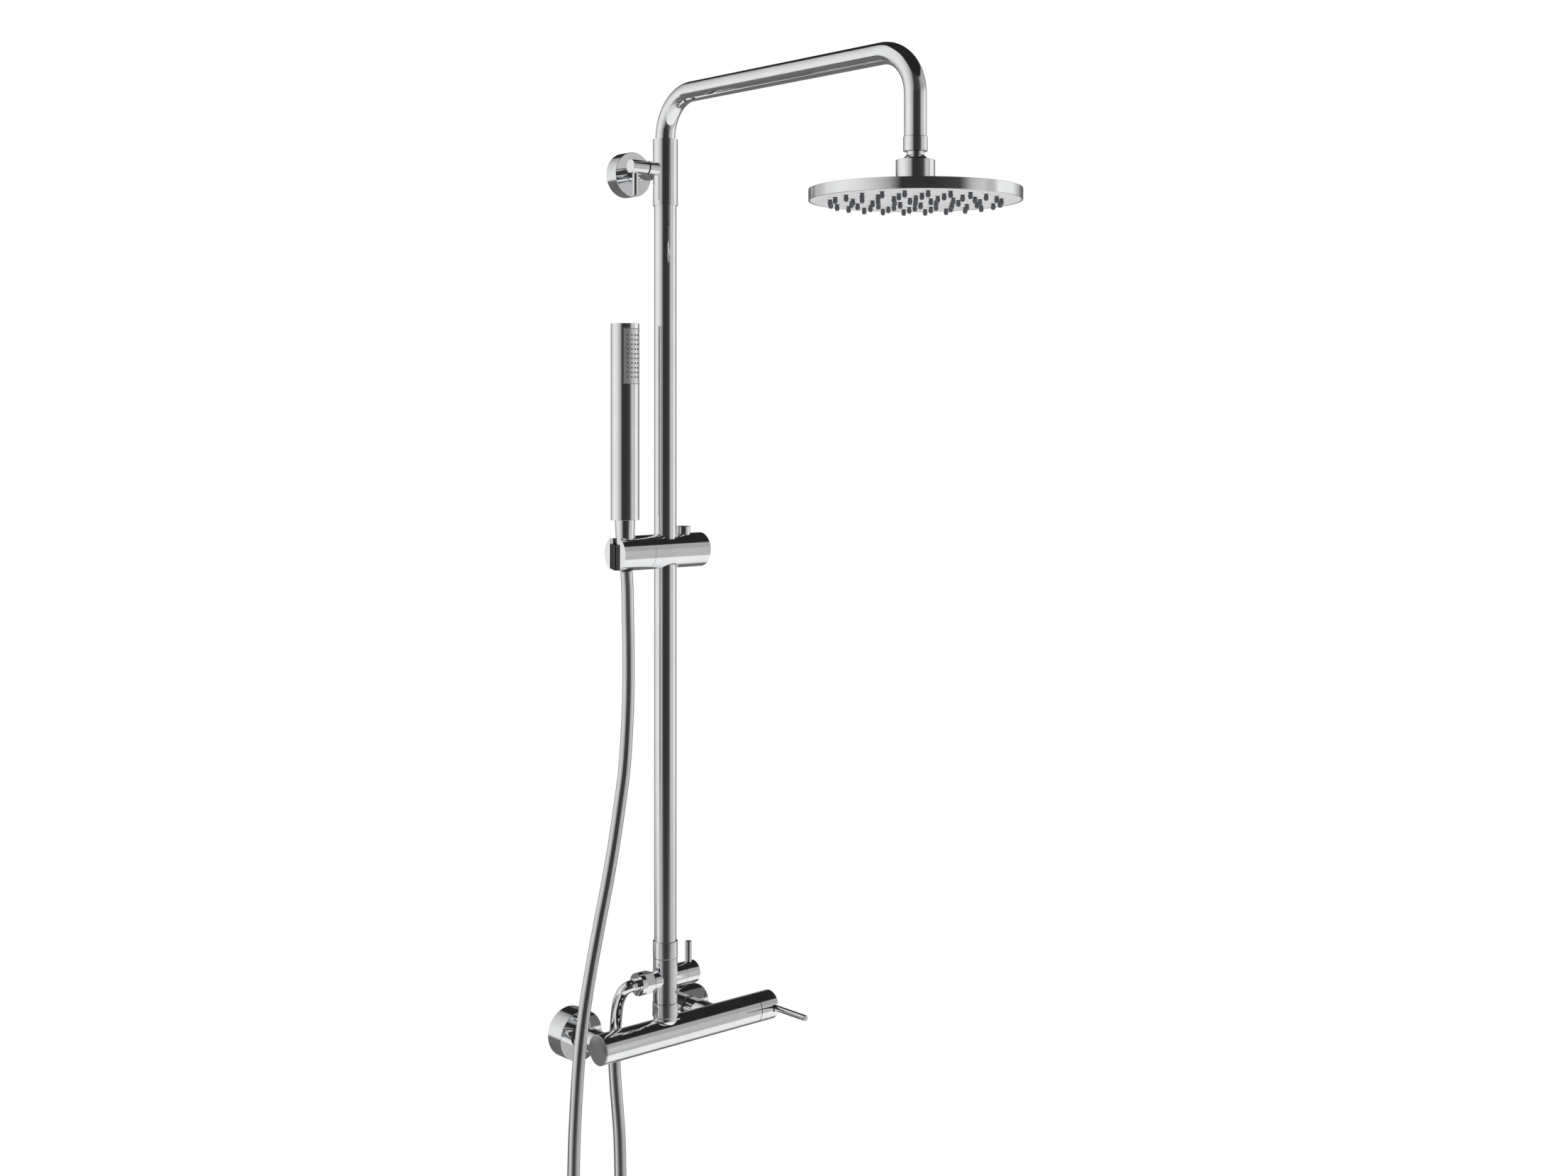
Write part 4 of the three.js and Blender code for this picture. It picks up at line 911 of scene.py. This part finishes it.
def slot_block(width, start, bottom, top):
    """A block in the holder's slot, from its left end inwards."""
    bm = bmesh.new()
    bmesh.ops.create_cube(bm, size=1)
    bmesh.ops.scale(bm, vec=(HAND.x - 6 - start, width, top - bottom), verts=bm.verts)
    bmesh.ops.translate(bm, vec=((HAND.x - 6 + start) / 2, HAND.y, SLIDER.z + (top + bottom) / 2),
                        verts=bm.verts)
    return to_object(bm, "slot")


finished(softened(carved(cradle, [taper, slot_block(SLOT_WIDTH, low - 1, -22, 22)]), 0.6),
         "handset_cradle")
liner = to_object(turned("z", (HAND.x, HAND.y, SLIDER.z), [
    (0, LINER_LOW), (9.66, LINER_LOW), (10.34, LINER_HIGH), (0, LINER_HIGH)], rim=0),
    "cradle_insert")
filling = slot_block(SLOT_WIDTH - 0.6, low + 0.8, LINER_LOW, LINER_HIGH)
outline = to_object(turned("x", SLIDER, pin(low, high, SLIDER_RADIUS - 0.8), rim=0), "outline")
carved(liner, [carved(filling, [outline], "INTERSECT")], "UNION")
seat = to_object(turned("z", (HAND.x, HAND.y, SLIDER.z), [
    (0, LINER_LOW - 1), (9, LINER_LOW - 1), (9.9, LINER_HIGH + 1), (0, LINER_HIGH + 1)], rim=0),
    "seat")
slit = slot_block(SLIT_WIDTH, low - 1, -22, 22)
finished(softened(carved(liner, [seat, slit]), 0.25, 2), "cradle_liner")

# %% [markdown]
# ## Hand shower
# A slim stick: a chromed tube with a stepped tail, a long window in its front, and a grey panel
# with four rows of small nozzles that follows the tube's curve. The window's cutter and the panel
# are the same arc, spun through part of a turn with different radii.


# %% Stick
def arc_block(inner, outer, half, low, high, steps=32):
    """A closed curved block that faces -Y, spun through twice its half angle."""
    bm = bmesh.new()
    ring = [bm.verts.new((radius, 0, z))
            for radius, z in ((inner, low), (outer, low), (outer, high), (inner, high))]
    edges = [bm.edges.new((ring[k], ring[(k + 1) % 4])) for k in range(4)]
    bmesh.ops.spin(bm, geom=ring + edges, cent=(0, 0, 0), axis=(0, 0, 1), angle=2 * half,
                   steps=steps, use_merge=False)
    bmesh.ops.holes_fill(bm, edges=[e for e in bm.edges if e.is_boundary], sides=4)
    bmesh.ops.rotate(bm, cent=(0, 0, 0), verts=bm.verts,
                     matrix=Matrix.Rotation(-math.pi / 2 - half, 3, "Z"))
    bmesh.ops.translate(bm, vec=(HAND.x, HAND.y, 0), verts=bm.verts)
    bmesh.ops.recalc_face_normals(bm, faces=bm.faces)
    return bm


TAIL_TOP = 555.7
HALF_WINDOW = math.radians(43)
_, window_low, window_high, _ = place_of("handset_spray_panel", "z")
stick = to_object(turned("z", HAND, [
    (7, hand_low), (7.5, hand_low), (7.5, TAIL_TOP), (HAND_RADIUS, TAIL_TOP),
    (HAND_RADIUS, hand_high), (0, hand_high), (0, hand_high - 2),
    (HAND_RADIUS - 1.4, hand_high - 2), (HAND_RADIUS - 1.4, TAIL_TOP + 2), (7, TAIL_TOP + 2)],
    rim=0), "hand_shower_stick")
window = to_object(arc_block(HAND_RADIUS - 4, HAND_RADIUS + 2, HALF_WINDOW, window_low - 0.3,
                             window_high + 0.3), "window")
finished(softened(carved(stick, [window]), 0.35), "handset_shell")

# %% Spray panel and cone nut
ROWS, COLUMNS, PITCH, TURN = 10, 4, 4.94, math.radians(17)
panel_radius = HAND_RADIUS - 0.2
bm = arc_block(panel_radius - 1.6, panel_radius, HALF_WINDOW - 0.3 / HAND_RADIUS, window_low,
               window_high)
round_rims(bm, 0.3, 2)
panel_middle = (window_low + window_high) / 2
finished(to_object(bm, "spray_panel"), "handset_spray_panel")
bm = bmesh.new()
for row in range(ROWS):
    for column in range(COLUMNS):
        made = bmesh.ops.create_cone(bm, cap_ends=True, segments=12, radius1=0.95, radius2=0.7,
                                     depth=1.2)["verts"]
        lie = Matrix.Rotation(math.radians(90), 4, "X")
        turn = Matrix.Rotation((column - (COLUMNS - 1) / 2) * TURN, 4, "Z")
        z = panel_middle + (row - (ROWS - 1) / 2) * PITCH
        bmesh.ops.transform(bm, verts=made, matrix=Matrix.Translation((HAND.x, HAND.y, z)) @ turn
                            @ Matrix.Translation((0, -panel_radius - 0.2, 0)) @ lie)
round_rims(bm, 0.15, 2, 60)
tips = settle(to_object(bm, "spray_tips"))
tips.data.materials.append(silicone)
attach(tips, OWNER["handset_spray_panel"])
middle, low, high, radius = place_of("hose_cone_nut", "z")
lathe("hose_upper_nut", "z", middle, [
    (4.6, low), (8.4, low), (9.3, 520), (10.3, high), (10.8, TAIL_TOP), (8, TAIL_TOP), (8, high),
    (4.6, high)], "hose_cone_nut", rim=0.3)
stub = settle(to_object(swept(hose_points[:IN_NUT], HOSE_RADIUS - 0.3, 40), "hose_in_the_nut"))
stub.data.materials.append(sheath)
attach(stub, OWNER["hose_cone_nut"])

# %% [markdown]
# ## Pieces inside
# Cartridges, spindles, seals and the wall plate are hidden in use, but they show when a cradle
# tilts or the shower is taken apart. Their CAD solids are right as they are and only get a finish.

# %% Finishes of the CAD solids
replaced = {node for obj in bpy.data.objects for node in obj.get("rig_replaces", [])}
for node, slot in SLOT.items():
    if node not in replaced:
        own = FINISHES[slot]
        if "cartridge" in node and slot == "white_plastic":
            own = white_acetal
        materials = bpy.data.objects[node].data.materials
        if not len(materials):
            materials.append(own)
        for k in range(len(materials)):
            materials[k] = own
print("CAD solids kept:", len(SLOT) - len(replaced))
